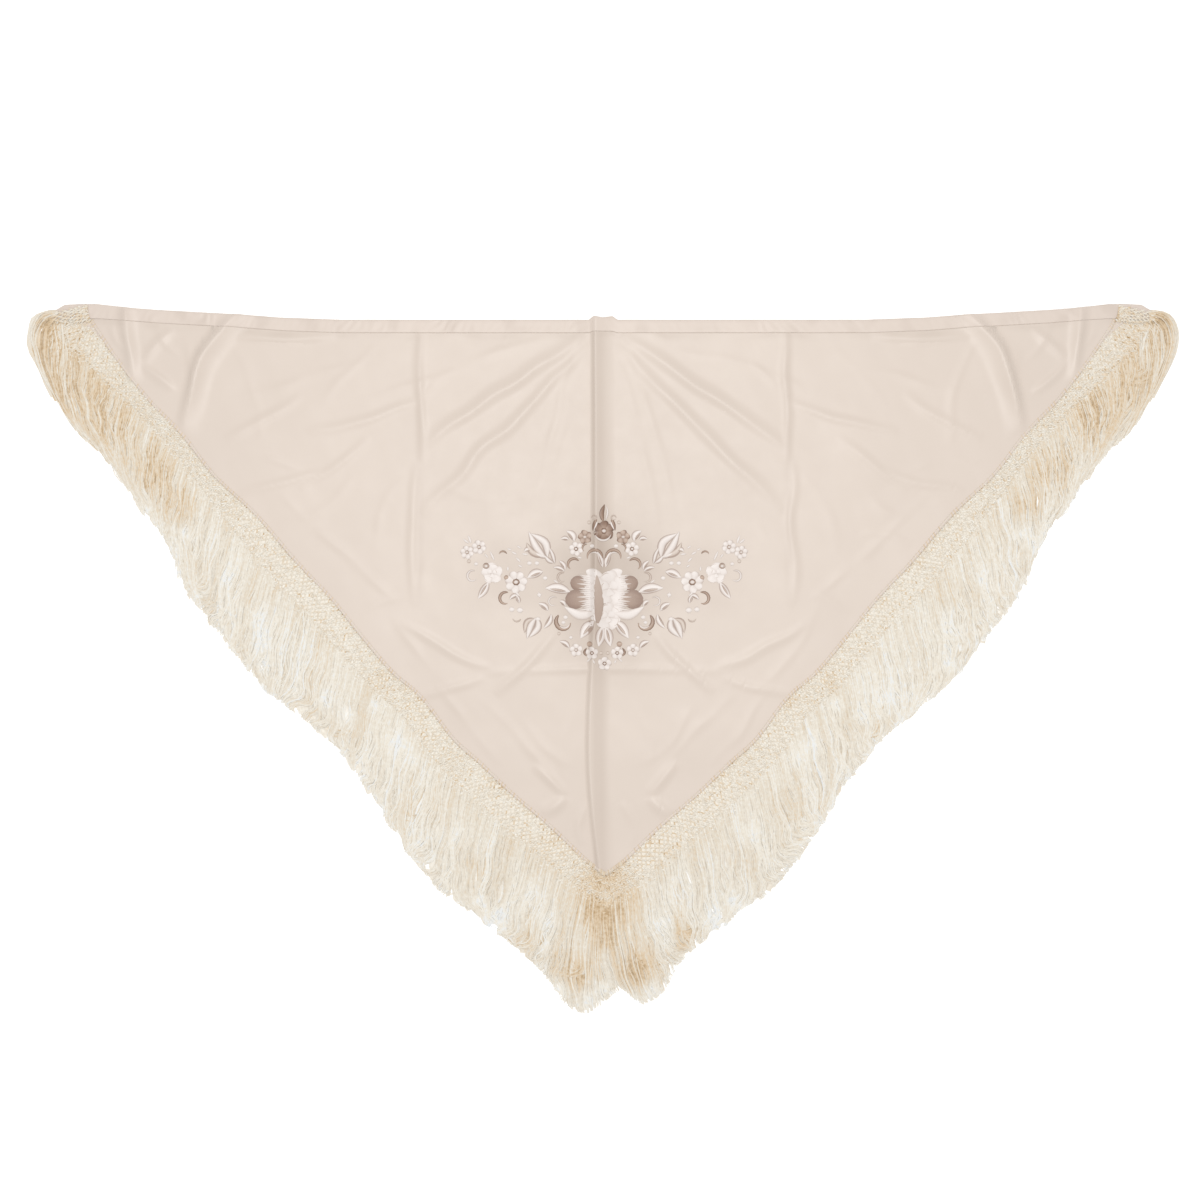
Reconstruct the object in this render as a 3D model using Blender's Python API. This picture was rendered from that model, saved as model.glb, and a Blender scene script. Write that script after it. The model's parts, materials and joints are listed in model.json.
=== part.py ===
"""Triangular silk shawl with a knotted net border and a long silk fringe, laid flat.

Z is up, X runs along the long hemmed edge and Y points to that edge from the tip.
The origin lies on the surface, below the middle of the shawl's outline.
Sizes and tables are in millimetres, and MM turns them into metres.
In a table, out is the distance from the shawl's middle line, the same on both sides.
"""

import math
from collections import namedtuple

import bmesh
import bpy
from mathutils import Vector
from mathutils.geometry import delaunay_2d_cdt

MM = 0.001

# Cloth, hem, net and fringe
CLOTH_THICK = 1.2
HEM_THICK = 2.4
HEM_JOIN_GAP = 0.3
NET_THICK = 1.6
SEAM_GAP = 0.3
PANEL_END_OUT = 700.0
GRID_STEP = 40.0
GRID_CLEAR = 17.0
POINT_CLEAR = 3.2
FOLD_STEP = 22.0
FOLD_STEPS_LEAST = 4
FOLD_SLOPE_POWER = 1.4
FOLD_FADE_POWER = 0.7
BROAD_FOLD = 18.0
BROAD_SHARE = 0.42
EDGE_TOLERANCE = 1e-4
ROUTE_SAMPLES = 24

# Fringe locks
LOCKS_A_SIDE = 100
BACKING_WIDTH = 3.0
BACKING_THICK = 1.8
LOCK_THICK = 2.8
LOCK_FLOOR_GAP = 0.5
LOCK_LIFT = 2.2
LOCK_LEVELS = (0.0, 0.22, 0.5, 0.78, 1.0)
LOCK_TAPER = (1.0, 0.88, 0.82, 0.72, 0.4)
WAVE_WIDTH = 4.0
WAVES_DOWN = 1.5
WAVES_ALONG = 7.0
WAVE_EASE = 1.3
SHORTEST_LOCK = 0.94
LENGTH_TURN = 2.7
SWING_TURN = 1.9
TIP_THINNING = 0.45
CLUMPS = 21
CLUMP_PULL = 0.0045

# Embroidery
STITCH_EDGE = 0.5
STITCH_CROWN = 1.3
ROSE_PETALS = 7
FLOWER_PETALS = 5
PETAL_ROUND = 0.2
PETAL_NOTCH = 0.72
LEAF_CORNERS = 8
LEAF_NARROWING = 0.4
LEAF_RIB_SHARE = 0.3
SCROLL_STEPS = 5
SCROLL_TURN = 220.0
SCROLL_END_SHARE = 0.35

# The middle line leans a little to the right towards the tip
HEM_LINE_Y = 456.0
MIDDLE_AT_HEM = 0.7
MIDDLE_LEAN = 0.0045

HemRow = namedtuple("HemRow", "out top width")
HEM_ROWS = (
    HemRow(0, 459, 18),
    HemRow(13, 461, 20),
    HemRow(19, 456, 17),
    HemRow(84, 456, 17),
    HemRow(192, 456, 17),
    HemRow(352, 456, 17),
    HemRow(433, 459, 17),
    HemRow(486, 463, 17),
    HemRow(540, 466, 17),
    HemRow(594, 469, 17),
    HemRow(634, 472, 17),
    HemRow(678, 477, 19),
    HemRow(700, 477, 20),
    HemRow(721, 476, 19),
    HemRow(747, 461, 4),
)
HEM_JOIN_OUT = 358.0
HEM_STATIONS = (
    0, 6, 13, 19, 34, 54, 74, 94, 116, 138, 160, 182, 204, 226, 248, 270, 292, 314, 336, 358,
    380, 402, 424, 444, 462, 474, 486, 500, 516, 534, 552, 572, 592, 612, 626, 634, 642, 654,
    668, 684, 700, 721, 736, 747,
)

# One row for each station of the slanted edges, from the corner to the tip.
# seam is the cloth's edge, root the net's outer edge, mid and tip places on the fringe.
EdgeRow = namedtuple("EdgeRow", "seam_out seam_y root_out root_y mid_out mid_y tip_out tip_y")
EDGE_ROWS = (
    EdgeRow(732, 456, 737, 451, 771, 435, 732, 333),
    EdgeRow(718, 456, 739, 437, 757, 403, 720, 317),
    EdgeRow(701, 454, 739, 416, 735, 369, 707, 304),
    EdgeRow(688, 445, 723, 407, 720, 350, 691, 290),
    EdgeRow(675, 433, 708, 400, 702, 345, 675, 275),
    EdgeRow(649, 399, 678, 372, 677, 318, 645, 246),
    EdgeRow(609, 348, 633, 333, 637, 269, 615, 200),
    EdgeRow(565, 302, 589, 286, 595, 215, 579, 153),
    EdgeRow(522, 247, 546, 228, 555, 155, 560, 94),
    EdgeRow(467, 195, 498, 160, 512, 81, 512, 33),
    EdgeRow(412, 131, 448, 97, 459, 14, 459, -33),
    EdgeRow(366, 82, 401, 50, 412, -26, 419, -68),
    EdgeRow(320, 25, 353, -6, 362, -80, 368, -107),
    EdgeRow(284, -17, 314, -49, 326, -115, 331, -153),
    EdgeRow(246, -50, 278, -82, 291, -160, 298, -204),
    EdgeRow(204, -105, 241, -136, 255, -212, 265, -258),
    EdgeRow(169, -137, 205, -175, 216, -262, 222, -308),
    EdgeRow(125, -179, 160, -216, 171, -300, 171, -342),
)
LEFT_END_ROWS = (
    EdgeRow(75, -222, 110, -257, 126, -345, 131, -372),
    EdgeRow(29, -266, 61, -297, 77, -375, 88, -416),
    EdgeRow(18, -275, 41, -312, 57, -401, 59, -456),
    EdgeRow(8, -282, 21, -325, 31, -415, 32, -474),
    EdgeRow(0.3, -287, 0.3, -338, 6, -400, 1, -454),
)
RIGHT_END_ROWS = (
    EdgeRow(75, -222, 110, -257, 118, -341, 126, -379),
    EdgeRow(29, -266, 61, -297, 75, -375, 102, -404),
    EdgeRow(18, -275, 41, -312, 51, -395, 78, -443),
    EdgeRow(8, -282, 21, -325, 32, -408, 52, -460),
    EdgeRow(0.3, -287, 0.3, -338, 7, -395, 24, -442),
)

# Folds. lead is the reach of the slope on the outer or upper side, trail on the other.
Fold = namedtuple("Fold", "name route height lead trail open_ends")
PAIRED_FOLDS = (
    Fold("corner_long", ((477, 479), (536, 409), (565, 304)), 9.0, 10, 26, False),
    Fold("corner_end", ((642, 490), (637, 429), (629, 374)), 6.0, 12, 16, False),
    Fold("corner_upper", ((575, 444), (600, 423), (621, 401)), 2.4, 8, 10, False),
    Fold("corner_lower", ((621, 401), (597, 380), (575, 358)), 2.4, 10, 8, False),
    Fold("under_hem", ((495, 434), (426, 430), (359, 435)), 2.8, 8, 12, False),
    Fold("radiating_upper", ((24, 436), (138, 360), (246, 287)), 3.6, 14, 12, False),
    Fold("radiating_lower", ((17, 424), (132, 309), (244, 195)), 2.8, 12, 12, False),
    Fold("storage_upper", ((244, 450), (246, 349), (245, 266)), 1.8, 8, 8, False),
    Fold("storage_lower", ((251, 271), (255, 175), (254, 73)), 1.6, 8, 8, False),
    Fold("below_flowers", ((66, 37), (107, -6), (147, -46)), 2.2, 10, 10, False),
    Fold("wandering_upper", ((240, 349), (318, 322), (396, 304)), 1.8, 9, 9, False),
    Fold("wandering_middle", ((312, 301), (360, 262), (410, 227)), 1.6, 9, 9, False),
    Fold("wandering_outer", ((507, 297), (454, 325), (401, 356)), 1.6, 9, 9, False),
    Fold("wandering_low", ((485, 224), (420, 239), (361, 259)), 1.5, 9, 9, False),
    Fold("low_slant", ((271, 50), (210, 14), (148, -11)), 1.8, 9, 9, False),
    Fold("low_small", ((251, -45), (205, -37), (158, -21)), 1.5, 8, 8, False),
    Fold("tip_upper", ((96, -137), (74, -160), (56, -180)), 2.6, 10, 12, False),
    Fold("tip_lower", ((56, -180), (67, -192), (86, -206)), 2.6, 12, 10, False),
)
# These lie across or along the middle line, with out counted to the left.
SINGLE_FOLDS = (
    Fold("middle", ((11, 470), (11, 282), (13, 81), (21, -133), (6, -300)), 5.0, 5, 26, True),
    Fold("level", ((174, -17), (0, -11), (-175, -15)), 1.2, 7, 7, False),
)

# Raised embroidery. size is across, and turn is in degrees from the outward way.
Motif = namedtuple("Motif", "name kind out y length width turn colour")
MIDDLE_MOTIFS = (
    Motif("rose_large", "rose", 0, 103, 48, 44, 0, "white_silk"),
    Motif("rose_small", "rose", 0, 58, 34, 30, 0, "white_silk"),
    Motif("flower_top", "flower", 0, 174, 26, 24, 18, "brown_silk"),
    Motif("flower_bottom", "flower", 0, 8, 18, 16, 18, "beige_silk"),
)
PAIRED_MOTIFS = (
    Motif("petal_upper", "leaf", 37, 113, 22, 14, 40, "brown_silk"),
    Motif("petal_lower", "leaf", 40, 89, 24, 15, -20, "brown_silk"),
    Motif("flower_small", "flower", 28, 162, 16, 15, 0, "beige_silk"),
    Motif("bud_tall", "leaf", 91, 156, 32, 14, 50, "white_silk"),
    Motif("bud_side", "leaf", 64, 94, 26, 11, 80, "beige_silk"),
    Motif("flower_wide", "flower", 120, 105, 30, 28, 10, "white_silk"),
    Motif("rose_outer", "rose", 154, 117, 30, 28, 0, "white_silk"),
    Motif("flower_twin", "flower", 180, 149, 20, 18, 0, "beige_silk"),
    Motif("leaf_outer", "leaf", 166, 92, 22, 9, -30, "white_silk"),
    Motif("leaf_spray", "leaf", 118, 140, 24, 9, 20, "white_silk"),
    Motif("bud_low", "leaf", 100, 44, 27, 11, 15, "beige_silk"),
    Motif("scroll_low", "scroll", 57, 50, 30, 7, 30, "brown_silk"),
    Motif("scroll_outer", "scroll", 139, 82, 20, 5, 200, "brown_silk"),
    Motif("flower_low", "flower", 40, 14, 22, 20, 36, "beige_silk"),
    Motif("arch", "scroll", 18, 142, 22, 5, 90, "brown_silk"),
    Motif("leaf_side", "leaf", 83, 68, 16, 7, 60, "white_silk"),
    Motif("leaf_under", "leaf", 22, 37, 16, 7, -60, "white_silk"),
    Motif("leaf_low", "leaf", 61, 25, 14, 6, 40, "white_silk"),
)

SILK_BLUSH = (0.82, 0.72, 0.63)
SILK_IVORY = (0.84, 0.79, 0.70)
FRINGE_IVORY = (0.86, 0.81, 0.72)
STITCH_COLOURS = {
    "white_silk": (0.90, 0.87, 0.82),
    "beige_silk": (0.76, 0.67, 0.57),
    "brown_silk": (0.46, 0.35, 0.28),
}


# Small helpers for points in the plane
def middle_x(y):
    return MIDDLE_AT_HEM + (HEM_LINE_Y - y) * MIDDLE_LEAN


def place(side, out, y):
    return Vector((middle_x(y) + side * out, y))


def spline_value(rows, position):
    """Smooth value at a row position, for rows that are numbers or vectors."""
    last = len(rows) - 1
    index = min(int(position), last - 1)
    t = position - index
    before = rows[max(index - 1, 0)]
    start = rows[index]
    end = rows[index + 1]
    after = rows[min(index + 2, last)]
    slope_start = (end - before) * 0.5
    slope_end = (after - start) * 0.5
    square = t * t
    cube = square * t
    value = start * (2 * cube - 3 * square + 1) + end * (3 * square - 2 * cube)
    return value + slope_start * (cube - 2 * square + t) + slope_end * (cube - square)


def even_positions(points, count):
    """Row positions that share a route of points into equal lengths."""
    count_fine = (len(points) - 1) * ROUTE_SAMPLES
    samples = [index / ROUTE_SAMPLES for index in range(count_fine + 1)]
    places = [spline_value(points, sample) for sample in samples]
    reach = [0.0]
    for first, second in zip(places, places[1:]):
        reach.append(reach[-1] + (second - first).length)
    positions = []
    index = 0
    for step in range(count + 1):
        target = reach[-1] * step / count
        while index < len(reach) - 2 and reach[index + 1] < target:
            index += 1
        part = (target - reach[index]) / (reach[index + 1] - reach[index])
        positions.append(samples[index] + part * (samples[index + 1] - samples[index]))
    return positions


def inside(polygon, point):
    """Whether a point lies in a closed outline."""
    found = False
    before = polygon[-1]
    for corner in polygon:
        if (corner.y > point.y) != (before.y > point.y):
            share = (point.y - corner.y) / (before.y - corner.y)
            if point.x < corner.x + share * (before.x - corner.x):
                found = not found
        before = corner
    return found


# Folds as curves in the plane, and the height that they give the cloth
class FoldCurve:
    """A fold's crest with the reach and height of its slopes, which fade at its ends."""

    def __init__(self, fold, side):
        route = [place(side, out, y) for out, y in fold.route]
        length = sum((b - a).length for a, b in zip(route, route[1:]))
        count = max(FOLD_STEPS_LEAST, round(length / FOLD_STEP))
        self.points = [spline_value(route, spot) for spot in even_positions(route, count)]
        self.height = fold.height
        self.reach = {1: fold.lead, -1: fold.trail}
        self.side = side
        self.open_ends = fold.open_ends

    def height_at(self, point):
        nearest = max(self.reach.values())
        height = 0.0
        count = len(self.points) - 1
        for index in range(count):
            start = self.points[index]
            run = self.points[index + 1] - start
            part = max(0.0, min(1.0, (point - start).dot(run) / run.length_squared))
            gap = point - start - run * part
            if gap.length >= nearest:
                continue
            nearest = gap.length
            across = run.x * gap.y - run.y * gap.x
            reach = self.reach[self.side if across > 0 else -self.side]
            slope = max(0.0, 1.0 - nearest / reach) ** FOLD_SLOPE_POWER
            share = (index + part) / count
            fade = 1.0 if self.open_ends else math.sin(math.pi * share) ** FOLD_FADE_POWER
            height = self.height * slope * fade
        return height

    def lines(self):
        """The crest and the feet of the fold, each as a list of points."""
        offsets = [0.0]
        for way, reach in self.reach.items():
            offsets.append(way * reach)
            if reach > BROAD_FOLD:
                offsets.append(way * reach * BROAD_SHARE)
        result = []
        for offset in offsets:
            line = []
            for index, point in enumerate(self.points):
                before = self.points[max(index - 1, 0)]
                after = self.points[min(index + 1, len(self.points) - 1)]
                run = (after - before).normalized()
                normal = Vector((-run.y, run.x)) * self.side
                line.append(point + normal * offset)
            result.append(line)
        return result


FOLD_CURVES = [FoldCurve(fold, side) for fold in PAIRED_FOLDS for side in (-1, 1)]
FOLD_CURVES += [FoldCurve(fold, -1) for fold in SINGLE_FOLDS]


def cloth_height(point):
    return max(curve.height_at(point) for curve in FOLD_CURVES)


# The hem's edges and the stations of the slanted edges
def hem_row(out):
    for first, second in zip(HEM_ROWS, HEM_ROWS[1:]):
        if out <= second.out:
            share = (out - first.out) / (second.out - first.out)
            top = first.top + share * (second.top - first.top)
            width = first.width + share * (second.width - first.width)
            return top, width
    return HEM_ROWS[-1].top, HEM_ROWS[-1].width


def hem_lines(reach):
    """The hem's upper and lower edges from left to right, as far out as reach."""
    upper = []
    lower = []
    for side, stations in ((-1, HEM_STATIONS[:0:-1]), (1, HEM_STATIONS)):
        for out in stations:
            if out <= reach:
                top, width = hem_row(out)
                upper.append(place(side, out, top))
                lower.append(place(side, out, top - width))
    return upper, lower


class SlantedEdge:
    """Seam, net edge and fringe of one side, at stations an even step apart."""

    def __init__(self, side, rows):
        self.side = side
        self.seam_rows = [place(side, row.seam_out, row.seam_y) for row in rows]
        self.root_rows = [place(side, row.root_out, row.root_y) for row in rows]
        self.mid_rows = [place(side, row.mid_out, row.mid_y) for row in rows]
        self.tip_rows = [place(side, row.tip_out, row.tip_y) for row in rows]
        self.positions = even_positions(self.root_rows, LOCKS_A_SIDE)
        self.seam = self.stations(self.seam_rows)
        self.root = self.stations(self.root_rows)

    def stations(self, rows):
        """Points on a smooth line at even stations, and halfway between them at odd ones."""
        points = [spline_value(rows, position) for position in self.positions]
        for index in range(1, len(points) - 1, 2):
            points[index] = (points[index - 1] + points[index + 1]) * 0.5
        return points

    def outward(self, index):
        """The way from the cloth to the fringe, square to the net's outer edge."""
        before = self.root[max(index - 1, 0)]
        after = self.root[min(index + 1, len(self.root) - 1)]
        run = (after - before).normalized()
        return Vector((run.y, -run.x)) * -self.side

    def panel_edge(self):
        """The cloth's own edge, from the corner down to the tip."""
        points = []
        for index in range(0, len(self.seam), 2):
            point = self.seam[index]
            if abs(point.x - middle_x(point.y)) < PANEL_END_OUT:
                points.append(point - self.outward(index) * SEAM_GAP)
        return points

    def strand_point(self, station, level):
        """A place on the fringe, from 0 at the root to 1 at the tip."""
        pull = math.sin(2 * math.pi * CLUMPS * station / LOCKS_A_SIDE)
        share = station / LOCKS_A_SIDE
        warped = share + CLUMP_PULL * pull * level * math.sin(math.pi * share)
        spot = warped * LOCKS_A_SIDE
        index = min(int(spot), LOCKS_A_SIDE - 1)
        part = spot - index
        position = self.positions[index] * (1 - part) + self.positions[index + 1] * part
        root = self.backing_edge(spot)
        mid = spline_value(self.mid_rows, position)
        tip = spline_value(self.tip_rows, position)
        bend = mid * 2 - (root + tip) * 0.5
        back = 1 - level
        point = root * back * back + bend * 2 * level * back + tip * level * level
        wave = math.sin(2 * math.pi * (WAVES_DOWN * level + WAVES_ALONG * share))
        ease = math.sin(math.pi * share) * level * (WAVE_EASE - level)
        return point + Vector((WAVE_WIDTH * wave * ease, 0))

    def backing_edge(self, station):
        index = min(int(station), LOCKS_A_SIDE - 1)
        part = station - index
        start = self.root[index] + self.outward(index) * (SEAM_GAP + BACKING_WIDTH)
        end = self.root[index + 1] + self.outward(index + 1) * (SEAM_GAP + BACKING_WIDTH)
        return start * (1 - part) + end * part


# Meshes and materials
def make_material(name, colour, roughness):
    material = bpy.data.materials.new(name)
    material.use_nodes = True
    shader = material.node_tree.nodes["Principled BSDF"]
    shader.inputs["Base Color"].default_value = (*colour, 1.0)
    shader.inputs["Roughness"].default_value = roughness
    shader.inputs["Metallic"].default_value = 0.0
    return material


def finish_object(name, bm, material, collection):
    bmesh.ops.recalc_face_normals(bm, faces=bm.faces[:])
    mesh = bpy.data.meshes.new(name)
    bm.to_mesh(mesh)
    bm.free()
    mesh.materials.append(material)
    obj = bpy.data.objects.new(name, mesh)
    collection.objects.link(obj)
    return obj


def thicken(bm, lift):
    """Closes an open sheet with a copy that lift raises point by point."""
    rims = {vert for edge in bm.edges if edge.is_boundary for vert in edge.verts}
    rim_places = {(vert.co.x, vert.co.y) for vert in rims}
    result = bmesh.ops.extrude_face_region(bm, geom=bm.faces[:], use_keep_orig=True)
    for item in result["geom"]:
        if isinstance(item, bmesh.types.BMVert):
            item.co.z += lift((item.co.x, item.co.y) in rim_places) * MM


def flat_strip(bm, first_line, second_line, height):
    """Four-sided faces between two lines of points, at a height for each point."""
    pairs = []
    for first, second in zip(first_line, second_line):
        a = bm.verts.new((first.x * MM, first.y * MM, height(first) * MM))
        b = bm.verts.new((second.x * MM, second.y * MM, height(second) * MM))
        pairs.append((a, b))
    for (a, b), (c, d) in zip(pairs, pairs[1:]):
        bm.faces.new((a, b, d, c))


# Outlines of the raised motifs, each with its inner points
def flower_points(petals, rings):
    """Angles and shares of the radius: two points round each petal and one in each notch."""
    pitch = 2 * math.pi / petals
    outline = []
    inner = [(0.0, 0.0)]
    for petal in range(petals):
        outline.append(((petal - PETAL_ROUND) * pitch, 1.0))
        outline.append(((petal + PETAL_ROUND) * pitch, 1.0))
        outline.append(((petal + 0.5) * pitch, PETAL_NOTCH))
        if rings:
            inner.append((petal * pitch, 0.5))
    return outline, inner


def motif_shape(motif, side):
    """Outline and inner points of a motif in the shawl's plane."""
    turn = math.radians(motif.turn)
    half_length = motif.length / 2
    half_width = motif.width / 2
    if motif.kind in ("rose", "flower"):
        petals = ROSE_PETALS if motif.kind == "rose" else FLOWER_PETALS
        outline, inner = flower_points(petals, motif.kind == "rose")
        shape = [(r * half_length * math.cos(a), r * half_width * math.sin(a)) for a, r in outline]
        centre = [(r * half_length * math.cos(a), r * half_width * math.sin(a)) for a, r in inner]
    elif motif.kind == "leaf":
        shape = []
        for step in range(LEAF_CORNERS):
            angle = 2 * math.pi * step / LEAF_CORNERS
            narrow = abs(math.sin(angle)) ** LEAF_NARROWING
            shape.append((half_length * math.cos(angle), half_width * math.sin(angle) * narrow))
        centre = [(half_length * LEAF_RIB_SHARE * way, 0.0) for way in (-1, 1)]
    else:
        outer = []
        inner = []
        centre = []
        radius = half_length - half_width
        for step in range(SCROLL_STEPS + 1):
            share = step / SCROLL_STEPS
            angle = math.radians(SCROLL_TURN * (share - 0.5))
            swell = SCROLL_END_SHARE + (1 - SCROLL_END_SHARE) * math.sin(math.pi * share)
            way = Vector((math.cos(angle), math.sin(angle)))
            outer.append(tuple(way * (radius + half_width * swell)))
            inner.append(tuple(way * (radius - half_width * swell)))
            if 0 < step < SCROLL_STEPS:
                centre.append(tuple(way * radius))
        shape = outer + inner[::-1]
    return [
        [
            place(
                side,
                motif.out + x * math.cos(turn) - y * math.sin(turn),
                motif.y + x * math.sin(turn) + y * math.cos(turn),
            )
            for x, y in points
        ]
        for points in (shape, centre)
    ]


def all_motifs():
    motifs = [(motif.name, motif, *motif_shape(motif, 1)) for motif in MIDDLE_MOTIFS]
    for motif in PAIRED_MOTIFS:
        motifs.append((motif.name + "_left", motif, *motif_shape(motif, -1)))
        motifs.append((motif.name + "_right", motif, *motif_shape(motif, 1)))
    return motifs


class ClothPlan:
    """The cloth's outline, fold lines, motif outlines and a loose grid, in triangles."""

    def __init__(self, left_edge, right_edge, motifs):
        self.points = []
        self.edges = []
        self.outline = self.make_outline(left_edge, right_edge)
        self.add_loop(self.outline)
        for _name, _motif, shape, centre in motifs:
            self.add_loop(shape)
            self.points += centre
        for curve in FOLD_CURVES:
            for line in curve.lines():
                self.add_line(line)
        self.add_grid()
        self.triangulate()

    def make_outline(self, left_edge, right_edge):
        top = [point - Vector((0, SEAM_GAP)) for point in hem_lines(PANEL_END_OUT)[1]]
        return top + right_edge.panel_edge() + left_edge.panel_edge()[::-1][1:]

    def add_loop(self, loop):
        start = len(self.points)
        self.points += loop
        for index in range(len(loop)):
            self.edges.append((start + index, start + (index + 1) % len(loop)))

    def is_free(self, point, clear):
        return all((point - other).length > clear for other in self.points)

    def add_line(self, line):
        before = None
        for point in line:
            if inside(self.outline, point) and self.is_free(point, POINT_CLEAR):
                self.points.append(point)
                if before is not None:
                    self.edges.append((before, len(self.points) - 1))
                before = len(self.points) - 1
            else:
                before = None

    def add_grid(self):
        width = int(PANEL_END_OUT / GRID_STEP)
        row_step = GRID_STEP * math.sqrt(3) / 2
        fixed = list(self.points)
        y = HEM_LINE_Y
        row = 0
        while y > self.outline_low():
            for column in range(-width, width + 1):
                point = Vector(((column + 0.5 * (row % 2)) * GRID_STEP, y))
                near = any((point - other).length < GRID_CLEAR for other in fixed)
                if not near and inside(self.outline, point):
                    self.points.append(point)
            y -= row_step
            row += 1

    def outline_low(self):
        return min(point.y for point in self.outline)

    def triangulate(self):
        result = delaunay_2d_cdt(self.points, self.edges, [], 0, EDGE_TOLERANCE)
        self.points = [Vector(point) for point in result[0]]
        self.triangles = []
        for face in result[2]:
            if inside(self.outline, self.centre_of(face)):
                self.triangles.append(tuple(face))
        self.heights = [cloth_height(point) for point in self.points]

    def centre_of(self, face):
        total = Vector((0.0, 0.0))
        for index in face:
            total += self.points[index]
        return total / len(face)

    def sheet(self, triangles, lift):
        """An open sheet over some of the plan's triangles, lift above the cloth's underside."""
        bm = bmesh.new()
        verts = {}
        for index in sorted({corner for face in triangles for corner in face}):
            point = self.points[index]
            height = self.heights[index] + lift
            verts[index] = bm.verts.new((point.x * MM, point.y * MM, height * MM))
        for face in triangles:
            bm.faces.new([verts[index] for index in face])
        return bm


# The pieces
def make_panel(plan, material, collection):
    bm = plan.sheet(plan.triangles, 0.0)
    thicken(bm, lambda on_rim: CLOTH_THICK)
    return finish_object("silk_panel", bm, material, collection)


def make_hem(material, collection):
    """Three stretches of hem, which meet where the long edge starts to rise to its corners."""
    upper, lower = hem_lines(HEM_STATIONS[-1])
    reach = HEM_STATIONS.index(HEM_JOIN_OUT)
    last = len(upper) - 1
    joins = (0, last // 2 - reach, last // 2 + reach, last)
    for name, start, end in zip(("left", "middle", "right"), joins, joins[1:]):
        stretches = []
        for line in (upper, lower):
            stretch = [point.copy() for point in line[start:end + 1]]
            stretch[0].x += HEM_JOIN_GAP / 2 if start > 0 else 0.0
            stretch[-1].x -= HEM_JOIN_GAP / 2 if end < last else 0.0
            stretches.append(stretch)
        bm = bmesh.new()
        flat_strip(bm, *stretches, cloth_height)
        thicken(bm, lambda on_rim: HEM_THICK)
        finish_object("top_hem_" + name, bm, material, collection)


def make_net(name, edge, material, collection):
    bm = bmesh.new()
    flat_strip(bm, edge.seam[::2], edge.root[::2], lambda point: 0.0)
    thicken(bm, lambda on_rim: NET_THICK)
    return finish_object(name, bm, material, collection)


def lock_ring(edge, number, level, taper):
    """Four corners of one lock at one level: low and high, on both its sides."""
    middle = edge.strand_point(number + 0.5, level)
    before = edge.strand_point(number - 0.5, level) if number > 0 else None
    after = edge.strand_point(number + 1.5, level) if number < LOCKS_A_SIDE - 1 else None
    if before is None:
        before = middle * 2 - after
    if after is None:
        after = middle * 2 - before
    across = (after - before).normalized()
    half = min((middle - before).length, (after - middle).length) * 0.5 * taper
    swing = 0.5 + 0.5 * math.sin(SWING_TURN * number)
    low = LOCK_FLOOR_GAP + LOCK_LIFT * swing * math.sin(math.pi * level)
    high = low + LOCK_THICK * (1.0 - TIP_THINNING * level)
    ring = []
    for way, height in ((-1, low), (1, low), (1, high), (-1, high)):
        point = middle + across * half * way
        ring.append((point.x * MM, point.y * MM, height * MM))
    return ring


def make_fringe(name, edge, material, collection):
    """A narrow backing along the net, with one lock drawn out of each of its outer faces."""
    bm = bmesh.new()
    rings = []
    for index in range(LOCKS_A_SIDE + 1):
        near = edge.root[index] + edge.outward(index) * SEAM_GAP
        far = edge.backing_edge(index)
        corners = ((near, 0.0), (far, 0.0), (far, BACKING_THICK), (near, BACKING_THICK))
        rings.append([bm.verts.new((p.x * MM, p.y * MM, z * MM)) for p, z in corners])
    for before, after in zip(rings, rings[1:]):
        for first, second in ((0, 1), (2, 3), (3, 0)):
            bm.faces.new((before[first], before[second], after[second], after[first]))
    bm.faces.new(rings[0])
    bm.faces.new(rings[-1])
    for number in range(LOCKS_A_SIDE):
        start = rings[number]
        end = rings[number + 1]
        ring = [start[1], end[1], end[2], start[2]]
        length = SHORTEST_LOCK + (1 - SHORTEST_LOCK) * math.sin(LENGTH_TURN * number) ** 2
        for level, taper in zip(LOCK_LEVELS[1:], LOCK_TAPER[1:]):
            corners = lock_ring(edge, number, level * length, taper)
            following = [bm.verts.new(corner) for corner in corners]
            for index in range(4):
                turn = (index + 1) % 4
                bm.faces.new((ring[index], ring[turn], following[turn], following[index]))
            ring = following
        bm.faces.new(ring)
    return finish_object(name, bm, material, collection)


def make_embroidery(plan, motifs, materials, collection):
    """Each motif is made from the cloth's own triangles under it, moved out and domed."""
    for name, motif, shape, _centre in motifs:
        chosen = [face for face in plan.triangles if inside(shape, plan.centre_of(face))]
        bm = plan.sheet(chosen, CLOTH_THICK + SEAM_GAP)
        thicken(bm, lambda on_rim: STITCH_EDGE if on_rim else STITCH_CROWN)
        finish_object("stitched_" + name, bm, materials[motif.colour], collection)


def build_shawl():
    for obj in list(bpy.data.objects):
        bpy.data.objects.remove(obj, do_unlink=True)
    collection = bpy.data.collections.new("silk_shawl")
    bpy.context.scene.collection.children.link(collection)
    satin = make_material("blush_satin", SILK_BLUSH, 0.42)
    ivory = make_material("ivory_net", SILK_IVORY, 0.6)
    strands = make_material("ivory_fringe", FRINGE_IVORY, 0.5)
    stitches = {}
    for name, colour in STITCH_COLOURS.items():
        stitches[name] = make_material(name, colour, 0.45)
    left_edge = SlantedEdge(-1, EDGE_ROWS + LEFT_END_ROWS)
    right_edge = SlantedEdge(1, EDGE_ROWS + RIGHT_END_ROWS)
    motifs = all_motifs()
    plan = ClothPlan(left_edge, right_edge, motifs)
    make_panel(plan, satin, collection)
    make_hem(satin, collection)
    for word, edge in (("left", left_edge), ("right", right_edge)):
        make_net("net_" + word, edge, ivory, collection)
        make_fringe("fringe_" + word, edge, strands, collection)
    make_embroidery(plan, motifs, stitches, collection)


build_shawl()
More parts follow.
